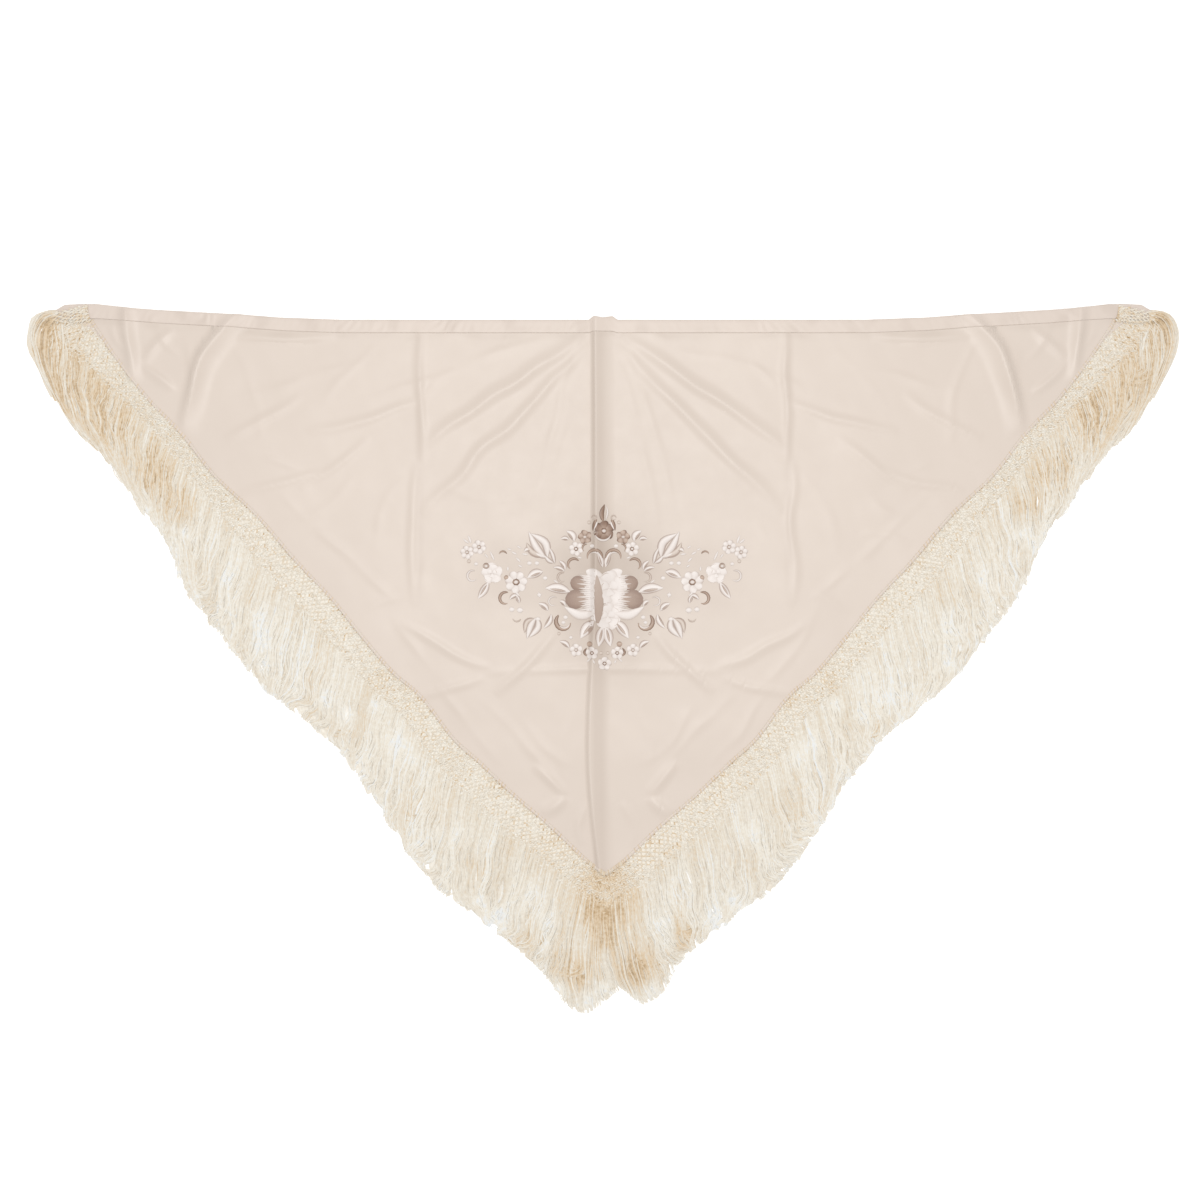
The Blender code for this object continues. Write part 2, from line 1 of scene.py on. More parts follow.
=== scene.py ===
# %% [markdown]
# # A fringed silk shawl, laid flat
#
# The real thing is one triangle of heavy silk satin with a rolled hem along its long edge, a
# knotted net sewn to both slanted edges, a long fringe hanging from the net, and raised
# embroidery low in the middle. It lies on a white table and is seen from straight above.
#
# Each piece of cloth and thread is made as a mesh of its own, on the places that the packed
# model gives. All tables are in millimetres, and MM turns them into metres. "out" is the
# distance from the shawl's middle line, the same to the left and to the right.

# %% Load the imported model
import json
import math
from collections import namedtuple

import bpy
import numpy as np
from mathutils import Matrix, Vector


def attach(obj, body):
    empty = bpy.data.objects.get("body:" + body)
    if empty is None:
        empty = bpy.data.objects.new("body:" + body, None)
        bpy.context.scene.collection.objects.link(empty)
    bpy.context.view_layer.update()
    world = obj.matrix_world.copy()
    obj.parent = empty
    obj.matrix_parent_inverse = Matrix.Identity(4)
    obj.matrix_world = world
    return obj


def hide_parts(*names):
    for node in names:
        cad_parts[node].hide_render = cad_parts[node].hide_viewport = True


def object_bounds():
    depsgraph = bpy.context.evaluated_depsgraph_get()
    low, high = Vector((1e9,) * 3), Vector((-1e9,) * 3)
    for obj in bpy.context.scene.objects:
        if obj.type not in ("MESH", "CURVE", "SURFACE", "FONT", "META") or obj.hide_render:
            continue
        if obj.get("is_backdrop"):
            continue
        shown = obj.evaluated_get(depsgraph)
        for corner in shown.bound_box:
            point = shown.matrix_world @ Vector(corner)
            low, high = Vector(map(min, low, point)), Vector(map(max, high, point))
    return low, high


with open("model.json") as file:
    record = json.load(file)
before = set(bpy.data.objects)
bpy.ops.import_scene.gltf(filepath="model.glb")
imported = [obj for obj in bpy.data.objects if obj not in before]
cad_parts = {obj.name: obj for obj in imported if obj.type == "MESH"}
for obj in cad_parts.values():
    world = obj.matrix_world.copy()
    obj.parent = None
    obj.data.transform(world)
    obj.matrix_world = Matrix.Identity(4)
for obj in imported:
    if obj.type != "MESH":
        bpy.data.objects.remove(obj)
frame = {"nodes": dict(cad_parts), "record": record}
cad_low, cad_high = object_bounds()
MM = 0.001
print("packed nodes:", len(frame["nodes"]))
print("packed box in mm:", [round((b - a) / MM) for a, b in zip(cad_low, cad_high)])

# %% [markdown]
# ## Camera
#
# The shawl was seen from straight above, so the camera looks down with its top towards the
# long edge. A long lens keeps the flat cloth free of perspective. The width of the picture
# and its middle place the shawl in the picture as it should stand.

# %% Camera
PICTURE_WIDTH = 1608.0
PICTURE_MIDDLE = (-3.35, 81.07)
LENS = 80.0
SENSOR = 36.0

camera = bpy.data.objects.new("camera_above", bpy.data.cameras.new("camera_above"))
camera.data.lens = LENS
camera.data.sensor_width = SENSOR
camera_height = PICTURE_WIDTH * LENS / SENSOR
camera.location = (PICTURE_MIDDLE[0] * MM, PICTURE_MIDDLE[1] * MM, camera_height * MM)
bpy.context.scene.collection.objects.link(camera)
bpy.context.scene.camera = camera
print("camera height in mm:", round(camera_height))

# %% [markdown]
# ## Table and light
#
# A white table under one soft lamp above the middle, in a bright white room. Creases on both
# halves then show their shaded side outwards, and the room fills the shadows. A lamp near a
# wide cloth leaves its far corners dark, so the lamp's light is told not to fade with distance.

# %% Table and light
TABLE_SIDE = 12.0
TABLE_GLOW = 0.22
TABLE_WHITE = 0.93
ROOM_LIGHT = 0.755
LAMP_PLACE = (-0.03, 0.40, 2.6)
LAMP_SIZE = 0.6
LAMP_POWER = 4.1
WHITE = (1.0, 1.0, 1.0, 1)


def feed(tree, node, inputs):
    """Gives each named socket of a node a constant or another node's output."""
    for socket, value in inputs.items():
        if isinstance(value, bpy.types.NodeSocket):
            tree.links.new(value, node.inputs[socket])
        else:
            node.inputs[socket].default_value = value


def add_node(tree, kind, inputs, **settings):
    """A new shader node with its settings, fed with its inputs."""
    node = tree.nodes.new("ShaderNode" + kind)
    for name, value in settings.items():
        setattr(node, name, value)
    feed(tree, node, inputs)
    return node


def shader_of(name, inputs):
    """A new material, its node tree and its Principled shader fed with inputs."""
    material = bpy.data.materials.new(name)
    material.use_nodes = True
    tree = material.node_tree
    feed(tree, tree.nodes["Principled BSDF"], inputs)
    return material, tree, tree.nodes["Principled BSDF"]


def add_object(name, data):
    made = bpy.data.objects.new(name, data)
    bpy.context.scene.collection.objects.link(made)
    return made


def make_table():
    half = TABLE_SIDE / 2
    mesh = bpy.data.meshes.new("table")
    mesh.from_pydata([(-half, -half, 0), (half, -half, 0), (half, half, 0), (-half, half, 0)],
                     [], [(0, 1, 2, 3)])
    look = {"Base Color": (TABLE_WHITE, TABLE_WHITE, TABLE_WHITE, 1), "Roughness": 0.9,
            "Specular IOR Level": 0.1, "Emission Color": WHITE, "Emission Strength": TABLE_GLOW}
    mesh.materials.append(shader_of("white_table", look)[0])
    add_object("table", mesh)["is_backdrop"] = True


def make_lamp():
    lamp = bpy.data.lights.new("soft_lamp", "AREA")
    lamp.shape = "DISK"
    lamp.size = LAMP_SIZE
    lamp.energy = LAMP_POWER
    lamp.use_nodes = True
    tree = lamp.node_tree
    fading = add_node(tree, "LightFalloff", {"Strength": 1.0})
    feed(tree, tree.nodes["Emission"], {"Strength": fading.outputs["Constant"]})
    add_object("soft_lamp", lamp).location = LAMP_PLACE


def make_room():
    room = bpy.data.worlds.new("white_room")
    room.use_nodes = True
    background = room.node_tree.nodes["Background"]
    feed(room.node_tree, background, {"Color": WHITE, "Strength": ROOM_LIGHT})
    bpy.context.scene.world = room


make_table()
make_lamp()
make_room()
bpy.context.scene.view_settings.view_transform = "Standard"
print("lamp at", LAMP_PLACE, "room", ROOM_LIGHT)

# %% [markdown]
# ## Smooth lines, noise and meshes
#
# Everything below needs three tools: a smooth line through a few places, gentle unevenness
# that is the same on each run, and a way to turn arrays of points and faces into an object.
# Numpy works on whole arrays, so thousands of strands take seconds.

# %% Tools for lines, noise and meshes
def smooth_line(points, spots):
    """Catmull-Rom values of an array of rows at fractional row numbers."""
    points = np.asarray(points, float)
    spots = np.clip(np.asarray(spots, float), 0, len(points) - 1)
    first = np.minimum(spots.astype(int), len(points) - 2)
    part = (spots - first)[..., None]
    before = points[np.maximum(first - 1, 0)]
    start = points[first]
    end = points[first + 1]
    after = points[np.minimum(first + 2, len(points) - 1)]
    rise = (end - before) * 0.5
    fall = (after - start) * 0.5
    square = part * part
    cube = square * part
    value = start * (2 * cube - 3 * square + 1) + end * (3 * square - 2 * cube)
    return value + rise * (cube - 2 * square + part) + fall * (cube - square)


def even_spots(points, count, fine=24):
    """Fractional row numbers that share a line through points into equal lengths."""
    samples = np.linspace(0, len(points) - 1, (len(points) - 1) * fine + 1)
    places = smooth_line(points, samples)
    steps = np.linalg.norm(np.diff(places, axis=0), axis=1)
    reach = np.concatenate([[0], np.cumsum(steps)])
    return np.interp(np.linspace(0, reach[-1], count + 1), reach, samples)


def waves_of(seed, size, count=14):
    """Gentle noise of about one unit, made of sine waves about size long."""
    draw = np.random.default_rng(seed)
    turn = draw.uniform(0, 2 * math.pi, count)
    length = size * draw.uniform(0.6, 1.8, count)
    shift = draw.uniform(0, 2 * math.pi, count)
    way_x = np.cos(turn) * 2 * math.pi / length
    way_y = np.sin(turn) * 2 * math.pi / length

    def noise(x, y):
        total = np.zeros(np.broadcast(x, y).shape)
        for kx, ky, start in zip(way_x, way_y, shift):
            total += np.sin(kx * x + ky * y + start)
        return total / math.sqrt(count / 2)

    return noise


def make_piece(name, points, faces, material, smooth=True, values=(), places=None):
    """An object from arrays in millimetres. smooth is one answer or one for each face, and
    values are extra numbers for each point."""
    mesh = bpy.data.meshes.new(name)
    points = np.asarray(points, np.float32) * np.float32(MM)
    faces = [np.asarray(group, np.int32) for group in faces if len(group)]
    corners = np.concatenate([group.ravel() for group in faces])
    sizes = np.concatenate([np.full(len(group), group.shape[1]) for group in faces])
    mesh.vertices.add(len(points))
    mesh.vertices.foreach_set("co", points.ravel())
    mesh.loops.add(len(corners))
    mesh.loops.foreach_set("vertex_index", corners)
    mesh.polygons.add(len(sizes))
    starts = np.concatenate([[0], np.cumsum(sizes)[:-1]])
    mesh.polygons.foreach_set("loop_start", starts.astype(np.int32))
    mesh.update(calc_edges=True)
    mesh.validate()
    for label, numbers in values:
        layer = mesh.attributes.new(label, "FLOAT", "POINT")
        layer.data.foreach_set("value", np.asarray(numbers, np.float32))
    if places is not None:
        layer = mesh.uv_layers.new(name="threads")
        layer.data.foreach_set("uv", np.asarray(places, np.float32)[corners].ravel())
    mesh.polygons.foreach_set("use_smooth", np.zeros(len(sizes), bool) | smooth)
    mesh.materials.append(material)
    piece = add_object(name, mesh)
    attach(piece, "root")
    triangles = int((sizes - 2).sum())
    print(name, "triangles:", triangles)
    return piece


def tubes(lines, widths, heights, sides=3):
    """Closed tubes along many lines at once.

    lines is (tube, step, 3), widths and heights are (tube, step)."""
    count, steps, _ = lines.shape
    run = np.gradient(lines, axis=1)
    run /= np.linalg.norm(run, axis=2, keepdims=True) + 1e-9
    side = np.stack([-run[..., 1], run[..., 0], np.zeros((count, steps))], axis=2)
    side /= np.linalg.norm(side, axis=2, keepdims=True) + 1e-9
    up = np.cross(run, side)
    turn = math.pi / 2 + np.arange(sides) * 2 * math.pi / sides
    ring = (side[:, :, None, :] * (np.cos(turn)[:, None] * widths[:, :, None, None] / 2)
            + up[:, :, None, :] * (np.sin(turn)[:, None] * heights[:, :, None, None] / 2))
    points = (lines[:, :, None, :] + ring).reshape(-1, 3)
    base = (np.arange(count) * steps * sides)[:, None, None]
    step = (np.arange(steps - 1) * sides)[None, :, None]
    corner = np.arange(sides)[None, None, :]
    following = (corner + 1) % sides
    first = base + step
    quads = np.stack([first + corner, first + following,
                      first + following + sides, first + corner + sides], axis=3)
    start = base[:, 0, :] + np.arange(sides)[None, ::-1]
    end = base[:, 0, :] + (steps - 1) * sides + np.arange(sides)[None, :]
    return points, [quads.reshape(-1, 4), np.concatenate([start, end])]


print("tools ready")

# %% [markdown]
# ## The shawl's measured lines
#
# The tables hold the hem's height along the long edge, the slanted edges with the net and
# fringe beyond them, and the folds. A row of the edge table gives four places, from the cloth
# out to the strands' tips. The two sides share all rows but those near the tip. The solids
# follow nearly the same lines, so each thin piece lies on its solid.

# %% Tables of lines and folds
HEM_LINE_Y = 456.0
MIDDLE_AT_HEM = 0.7
MIDDLE_LEAN = 0.0045
PANEL_END_OUT = 700.0
HEM_ROWS = np.array((
    (0, 459, 18), (13, 461, 20), (19, 456, 17), (84, 456, 17), (192, 456, 17), (352, 456, 17),
    (433, 459, 17), (486, 463, 17), (540, 466, 17), (594, 469, 17), (634, 472, 17),
    (678, 477, 19), (700, 477, 20), (721, 476, 19), (747, 461, 4),
), float)

# seam out, seam y, root out, root y, middle out, middle y, tip out, tip y
EDGE_ROWS = (
    (732, 456, 737, 451, 771, 435, 721, 331),
    (718, 456, 739, 437, 745, 403, 710, 317),
    (701, 454, 739, 416, 731, 369, 702, 304),
    (688, 445, 723, 407, 715, 350, 686, 290),
    (675, 433, 708, 400, 699, 345, 671, 275),
    (649, 399, 678, 372, 677, 318, 645, 246),
    (609, 348, 633, 333, 637, 269, 615, 200),
    (565, 302, 589, 286, 595, 215, 579, 153),
    (522, 247, 546, 228, 555, 155, 560, 94),
    (467, 195, 498, 160, 512, 81, 512, 33),
    (412, 131, 448, 97, 459, 14, 459, -33),
    (366, 82, 401, 50, 412, -26, 419, -68),
    (320, 25, 353, -6, 362, -80, 368, -107),
    (284, -17, 314, -49, 326, -115, 331, -153),
    (246, -50, 278, -82, 291, -160, 298, -204),
    (204, -105, 241, -136, 255, -212, 265, -258),
    (169, -137, 205, -175, 216, -262, 222, -308),
    (125, -179, 160, -216, 171, -300, 171, -342),
)
# The rows near the tip, for the left side (-1) and the right side (1)
END_ROWS = {
    -1: (
        (75, -222, 110, -257, 126, -345, 131, -372),
        (29, -266, 61, -297, 77, -375, 88, -416),
        (18, -275, 41, -312, 55, -401, 57, -456),
        (8, -282, 21, -325, 27, -415, 28, -473),
        (0.3, -287, 0, -346, -3, -400, -20, -442),
    ),
    1: (
        (75, -222, 110, -257, 118, -341, 126, -379),
        (29, -266, 61, -297, 75, -375, 102, -404),
        (18, -275, 41, -312, 51, -395, 78, -443),
        (8, -282, 21, -325, 32, -408, 52, -460),
        (0.3, -287, 0, -346, 4.5, -395, 21, -440),
    ),
}

# A fold has a route of (out, y), a height, and how far it reaches in front and behind
Fold = namedtuple("Fold", "route height lead trail open_ends", defaults=(False,))
PAIRED_FOLDS = (
    Fold(((477, 479), (536, 409), (565, 304)), 9.0, 10, 26),
    Fold(((642, 490), (637, 429), (629, 374)), 6.0, 12, 16),
    Fold(((575, 444), (600, 423), (621, 401)), 2.4, 8, 10),
    Fold(((621, 401), (597, 380), (575, 358)), 2.4, 10, 8),
    Fold(((495, 434), (426, 430), (359, 435)), 2.8, 8, 12),
    Fold(((24, 436), (138, 360), (246, 287)), 3.6, 14, 12),
    Fold(((17, 424), (132, 309), (244, 195)), 2.8, 12, 12),
    Fold(((244, 450), (246, 349), (245, 266)), 1.8, 8, 8),
    Fold(((251, 271), (255, 175), (254, 73)), 1.6, 8, 8),
    Fold(((66, 37), (107, -6), (147, -46)), 2.2, 10, 10),
    Fold(((240, 349), (318, 322), (396, 304)), 1.8, 9, 9),
    Fold(((312, 301), (360, 262), (410, 227)), 1.6, 9, 9),
    Fold(((507, 297), (454, 325), (401, 356)), 1.6, 9, 9),
    Fold(((485, 224), (420, 239), (361, 259)), 1.5, 9, 9),
    Fold(((271, 50), (210, 14), (148, -11)), 1.8, 9, 9),
    Fold(((251, -45), (205, -37), (158, -21)), 1.5, 8, 8),
    Fold(((96, -137), (74, -160), (56, -180)), 2.6, 10, 12),
    Fold(((56, -180), (67, -192), (86, -206)), 2.6, 12, 10),
)
SINGLE_FOLDS = (
    Fold(((11, 470), (11, 282), (13, 81), (21, -133), (6, -300)), 5.0, 5, 26, True),
    Fold(((174, -17), (0, -11), (-175, -15)), 1.2, 7, 7),
)
# Small creases that only the thin cloth has: route, height and reach
FINE_CREASES = (
    (((30, 440), (70, 300), (96, 190)), 0.7, 7),
    (((12, 430), (60, 250), (75, 120)), 0.5, 9),
    (((40, 444), (190, 395), (330, 340)), 0.8, 8),
    (((300, 425), (350, 380), (382, 330)), 0.5, 7),
    (((197, 396), (231, 369), (238, 349)), 0.8, 6),
    (((165, 396), (130, 409), (100, 414)), 0.6, 6),
    (((330, 400), (420, 372), (500, 352)), 0.6, 8),
    (((500, 430), (470, 360), (462, 290)), 0.8, 8),
    (((560, 436), (550, 380), (560, 330)), 0.7, 8),
    (((600, 452), (584, 420), (560, 402)), 0.8, 7),
    (((660, 452), (655, 430), (640, 410)), 1.0, 6),
    (((438, 226), (360, 150), (275, 78)), 0.7, 9),
    (((178, -43), (120, -100), (52, -168)), 0.7, 9),
    (((262, 250), (300, 200), (310, 140)), 0.5, 8),
    (((330, 250), (380, 200), (430, 190)), 0.6, 8),
    (((400, 250), (450, 270), (505, 262)), 0.6, 7),
    (((210, 230), (150, 215), (90, 222)), 0.4, 9),
    (((200, 190), (240, 120), (250, 60)), 0.4, 8),
    (((300, 100), (260, 20), (200, -40)), 0.5, 9),
    (((230, -20), (190, -80), (140, -140)), 0.6, 8),
    (((120, -60), (90, -110), (40, -140)), 0.6, 9),
    (((40, -60), (60, -120), (50, -170)), 0.5, 8),
    (((24, -190), (40, -222), (34, -250)), 0.9, 7),
    (((330, 60), (300, 80), (262, 86)), 0.6, 7),
    (((410, 150), (380, 170), (340, 172)), 0.6, 7),
)


def middle_x(y):
    return MIDDLE_AT_HEM + (HEM_LINE_Y - np.asarray(y, float)) * MIDDLE_LEAN


def hem_top(out):
    return np.interp(np.abs(out), HEM_ROWS[:, 0], HEM_ROWS[:, 1])


def hem_width(out):
    return np.interp(np.abs(out), HEM_ROWS[:, 0], HEM_ROWS[:, 2])


print("edge rows:", len(EDGE_ROWS) + len(END_ROWS[1]), "folds:", 2 * len(PAIRED_FOLDS) + 2)

# %% [markdown]
# ## How high the cloth lies
#
# Real cloth keeps sharp storage creases, soft folds and a faint crumple all over. The height
# of the cloth is worked out for any place: the folds of the tables with rounded crests, the
# fine creases, bias puckers below the hem, and gentle noise. A crease that runs dead straight
# looks drawn, so the places are shifted a little by noise before the creases are measured.
# Close to the hem, which holds the cloth straight, they aren't shifted.

# %% Cloth height
SHELL_THICK = 0.8
SHELL_BASE = 0.5
CREST_ROUND = 1.1
CREST_STEP = 14
SLOPE_POWER = 1.6
FADE_POWER = 0.7
WANDER = 1.8
FINE_TRAIL = 1.4
BIAS_SLANT = 0.9
PUCKER_PITCH = 13
PUCKER_HEIGHT = 0.22
PUCKER_DEPTH = 60
WIDE_CRUMPLE = 0.30
SMALL_CRUMPLE = 0.045

wander_x = waves_of(11, 90)
wander_y = waves_of(12, 90)
crumple_wide = waves_of(13, 120)
crumple_small = waves_of(14, 38)
fold_strength = waves_of(15, 70)
pucker_strength = waves_of(16, 46)


def fold_height(x, y, fold, side):
    """Height of one fold at many places. side mirrors its route."""
    route = np.asarray(fold.route, float)
    route = np.stack([middle_x(route[:, 1]) + side * route[:, 0], route[:, 1]], axis=1)
    length = np.linalg.norm(np.diff(route, axis=0), axis=1).sum()
    line = smooth_line(route, even_spots(route, max(6, round(length / CREST_STEP))))
    result = np.zeros(x.shape)
    reach_most = max(fold.lead, fold.trail)
    low = line.min(axis=0) - reach_most
    high = line.max(axis=0) + reach_most
    near = (x > low[0]) & (x < high[0]) & (y > low[1]) & (y < high[1])
    px = x[near]
    py = y[near]
    best = np.full(px.shape, 1e9)
    value = np.zeros(px.shape)
    for index in range(len(line) - 1):
        run = line[index + 1] - line[index]
        gap_x = px - line[index, 0]
        gap_y = py - line[index, 1]
        part = np.clip((gap_x * run[0] + gap_y * run[1]) / (run @ run), 0, 1)
        gap_x = gap_x - run[0] * part
        gap_y = gap_y - run[1] * part
        distance = np.hypot(gap_x, gap_y)
        closer = distance < best
        across = run[0] * gap_y - run[1] * gap_x
        reach = np.where(across * side > 0, fold.lead, fold.trail)
        rounded = np.hypot(distance, CREST_ROUND) - CREST_ROUND
        slope = np.maximum(0, 1 - rounded / reach) ** SLOPE_POWER
        share = (index + part) / (len(line) - 1)
        fade = 1.0 if fold.open_ends else np.sin(math.pi * share) ** FADE_POWER
        value = np.where(closer, fold.height * slope * fade, value)
        best = np.where(closer, distance, best)
    result[near] = value
    return result


def cloth_height(x, y):
    """Height of the cloth's underside above the table."""
    x = np.asarray(x, float)
    y = np.asarray(y, float)
    calm = np.clip((hem_top(x) - 20 - y) / 40, 0, 1)
    moved_x = x + WANDER * wander_x(x, y) * calm
    moved_y = y + WANDER * wander_y(x, y) * calm
    total = np.zeros(x.shape)
    for fold in PAIRED_FOLDS:
        for side in (-1, 1):
            total = np.maximum(total, fold_height(moved_x, moved_y, fold, side))
    for fold in SINGLE_FOLDS:
        total = np.maximum(total, fold_height(x, y, fold, -1))
    for number, (route, height, reach) in enumerate(FINE_CREASES):
        crease = Fold(route, height, reach, reach * FINE_TRAIL)
        uneven = np.clip(0.75 + 0.35 * fold_strength(x + 90 * number, y), 0.1, 1.4)
        for side in (-1, 1):
            total += fold_height(moved_x, moved_y, crease, side) * uneven
    below_hem = np.clip((hem_top(x) - y) / PUCKER_DEPTH, 0, 1)
    slant = (x + BIAS_SLANT * y * np.sign(x)) * 2 * math.pi / PUCKER_PITCH
    pucker = np.sin(slant + 1.5 * crumple_small(x, y)) * np.clip(pucker_strength(x, y), 0, 1.5)
    total += PUCKER_HEIGHT * (1 - below_hem) ** 2 * pucker
    return (total + WIDE_CRUMPLE * (crumple_wide(x, y) + 1.6).clip(0)
            + SMALL_CRUMPLE * crumple_small(x, y))


print("tallest fold in mm:", max(fold.height for fold in PAIRED_FOLDS))

# %% [markdown]
# ## Silk
#
# Blush satin has a close smooth face: a soft gloss, a faint halo of fibre at its edges and a
# weave too fine to see from a step away. The material keeps that weave as a bump of 0.5 mm
# threads and lets the colour and the gloss drift a little. A number on the mesh, shade, says
# where shade is painted into the cloth: round the stitches, along the creases, under the hem and
# in broad patches.

# %% Silk material
SILK_COLOUR = (0.660, 0.570, 0.497)
# SILK_SHADED is the colour of the shade painted on the silk
SILK_SHADED = (0.47, 0.385, 0.322)
HEM_COLOUR = (0.667, 0.574, 0.504)
WEAVE_PITCH = 0.5
WEAVE_DEPTH = 0.05
# cycles a metre
CLOUD_SCALE = 7.0
GLOSS_SCALE = 40.0


def mix_colours(tree, share, first, second):
    """Goes from the first colour to the second as share goes from 0 to 1."""
    inputs = {"A": first, "B": second, "Factor": share}
    return add_node(tree, "Mix", inputs, data_type="RGBA").outputs["Result"]


def own_place(tree):
    """The place on the object, in metres."""
    return add_node(tree, "TexCoord", {}).outputs["Object"]


def drift_noise(tree, scale, detail=3.0):
    """Noise in the object's own metres, at scale cycles a metre."""
    inputs = {"Scale": scale, "Detail": detail, "Vector": own_place(tree)}
    return add_node(tree, "TexNoise", inputs).outputs["Fac"]


def mesh_value(tree, label):
    return add_node(tree, "Attribute", {}, attribute_name=label).outputs["Fac"]


def ridges(tree, way, pitch, unevenness, place):
    """Threads that lie side by side along a way, pitch apart in the units of place."""
    inputs = {"Scale": math.pi / 10 / pitch, "Distortion": unevenness, "Vector": place}
    return add_node(tree, "TexWave", inputs, bands_direction=way).outputs["Fac"]


def add_bump(tree, shader, height, strength, depth):
    """Raises a shader's surface by a height from 0 to 1, its depth in millimetres."""
    inputs = {"Strength": strength, "Distance": depth * MM, "Height": height}
    feed(tree, shader, {"Normal": add_node(tree, "Bump", inputs).outputs["Normal"]})


def make_silk(name, colour, gloss):
    material, tree, shader = shader_of(name, {"Specular IOR Level": 0.42, "Sheen Weight": 0.18,
                                              "Sheen Roughness": 0.4})
    darker = (*(part * 0.975 for part in colour), 1)
    lighter = (*(part * 1.025 for part in colour), 1)
    drifting = mix_colours(tree, drift_noise(tree, CLOUD_SCALE), darker, lighter)
    # Painted shade: the mesh's shade number mixes the colour towards SILK_SHADED
    painted_shade_colour = mix_colours(tree, mesh_value(tree, "shade"), drifting, (*SILK_SHADED, 1))
    rough = add_node(tree, "MapRange", {"To Min": gloss - 0.05, "To Max": gloss + 0.06,
                                        "Value": drift_noise(tree, GLOSS_SCALE)})
    feed(tree, shader, {"Base Color": painted_shade_colour, "Roughness": rough.outputs["Result"]})
    place = own_place(tree)
    threads = {number: ridges(tree, way, WEAVE_PITCH * MM, 0.6, place)
               for number, way in enumerate(("X", "Y"))}
    weave = add_node(tree, "Math", threads, operation="MULTIPLY")
    add_bump(tree, shader, weave.outputs["Value"], 0.25, WEAVE_DEPTH)
    return material


silk = make_silk("blush_satin", SILK_COLOUR, 0.42)
hem_silk = make_silk("blush_satin_hem", HEM_COLOUR, 0.45)
print("materials:", silk.name, hem_silk.name)

# %% [markdown]
# ## The panel of silk
#
# The panel is one thin closed shell. A square grid would have jagged slanted edges, so the
# shell is laid in columns from the hem down to the seam, close together at the middle crease
# and wider apart elsewhere. Neighbouring columns hold different numbers of points and are
# zipped together with triangles. One more row just above the seam keeps the light even there.
# The underside has fewer rows, as nobody sees it.

# %% Silk panel
TUCK = 2.5
ROW_STEP = 3.6
UNDER_EVERY = 4
EDGE_ROW = 0.4
CREASE_STEP = 1.6
CREASE_REACH = 32
COLUMN_STEP = 3.4
END_REACH = 30


def edge_rows(side):
    """Lines of a side: the seam, the net's outer edge, the fringe's middle and its tips."""
    rows = np.array(EDGE_ROWS + END_ROWS[side], float)
    result = []
    for column in (0, 2, 4, 6):
        y = rows[:, column + 1]
        result.append(np.stack([middle_x(y) + side * rows[:, column], y], axis=1))
    return result


def seam_y(side, x):
    """Height up the picture of the seam at a place x."""
    seam = edge_rows(side)[0]
    fine = smooth_line(seam, np.linspace(0, len(seam) - 1, 900))
    order = np.argsort(fine[:, 0])
    return np.interp(x, fine[order, 0], fine[order, 1])


def panel_columns():
    """Outs of all columns, from the left corner to the right one."""
    near = np.arange(CREASE_STEP, CREASE_REACH, CREASE_STEP)
    wide = np.arange(CREASE_REACH, PANEL_END_OUT - END_REACH, COLUMN_STEP)
    end = np.linspace(PANEL_END_OUT - END_REACH, PANEL_END_OUT, 8)
    outs = np.concatenate([near, wide, end])
    return np.concatenate([-outs[::-1], [0.0], outs])


def numbered(columns, start):
    """Running point numbers for columns of points."""
    bounds = start + np.cumsum([0] + [len(column) for column in columns])
    return [np.arange(first, last) for first, last in zip(bounds, bounds[1:])]


def zip_columns(first, second, flip):
    """Triangles between two columns of point numbers, walked down together."""
    faces = []
    i = 0
    j = 0
    last_i = len(first) - 1
    last_j = len(second) - 1
    while i < last_i or j < last_j:
        if j == last_j or (i < last_i and (i + 1) * last_j <= (j + 1) * last_i):
            face = (first[i], first[i + 1], second[j])
            i += 1
        else:
            face = (first[i], second[j + 1], second[j])
            j += 1
        faces.append(face[::-1] if flip else face)
    return faces


def lay_column(out):
    """Points of one column in plan, from under the hem down to the seam."""
    side = -1 if out < 0 else 1
    top_y = hem_top(out) - hem_width(out) + TUCK
    low_y = top_y
    # The middle line leans, so the column's foot is found twice
    for _ in range(2):
        low_y = min(float(seam_y(side, float(middle_x(low_y)) + out)), top_y - 0.5)
    rows = max(2, int((top_y - low_y) / ROW_STEP) + 1)
    y = np.append(np.linspace(top_y, low_y + EDGE_ROW, rows), low_y)
    return np.stack([middle_x(y) + out, y], axis=1)


def lay_panel():
    columns = [lay_column(out) for out in panel_columns()]
    sheet = np.concatenate(columns)
    height = SHELL_BASE + cloth_height(sheet[:, 0], sheet[:, 1])
    upper = np.column_stack([sheet, height + SHELL_THICK])
    tops = numbered(columns, 0)
    chosen = [np.unique(np.append(top[::UNDER_EVERY], top[-1])) for top in tops]
    unders = numbered(chosen, len(upper))
    lower = np.concatenate(chosen)
    under = np.column_stack([sheet[lower], height[lower]])
    faces = []
    for group, flip in ((tops, False), (unders, True)):
        for first, second in zip(group, group[1:]):
            faces += zip_columns(first, second, flip)
    for end, way in ((0, 1), (-1, -1)):
        for a, b, c, d in zip(tops, tops[1:], unders, unders[1:]):
            faces.append((a[end], b[end], d[end])[::way])
            faces.append((a[end], d[end], c[end])[::way])
    faces += zip_columns(unders[0], tops[0], False)
    faces += zip_columns(unders[-1], tops[-1], True)
    return np.concatenate([upper, under]), np.array(faces)


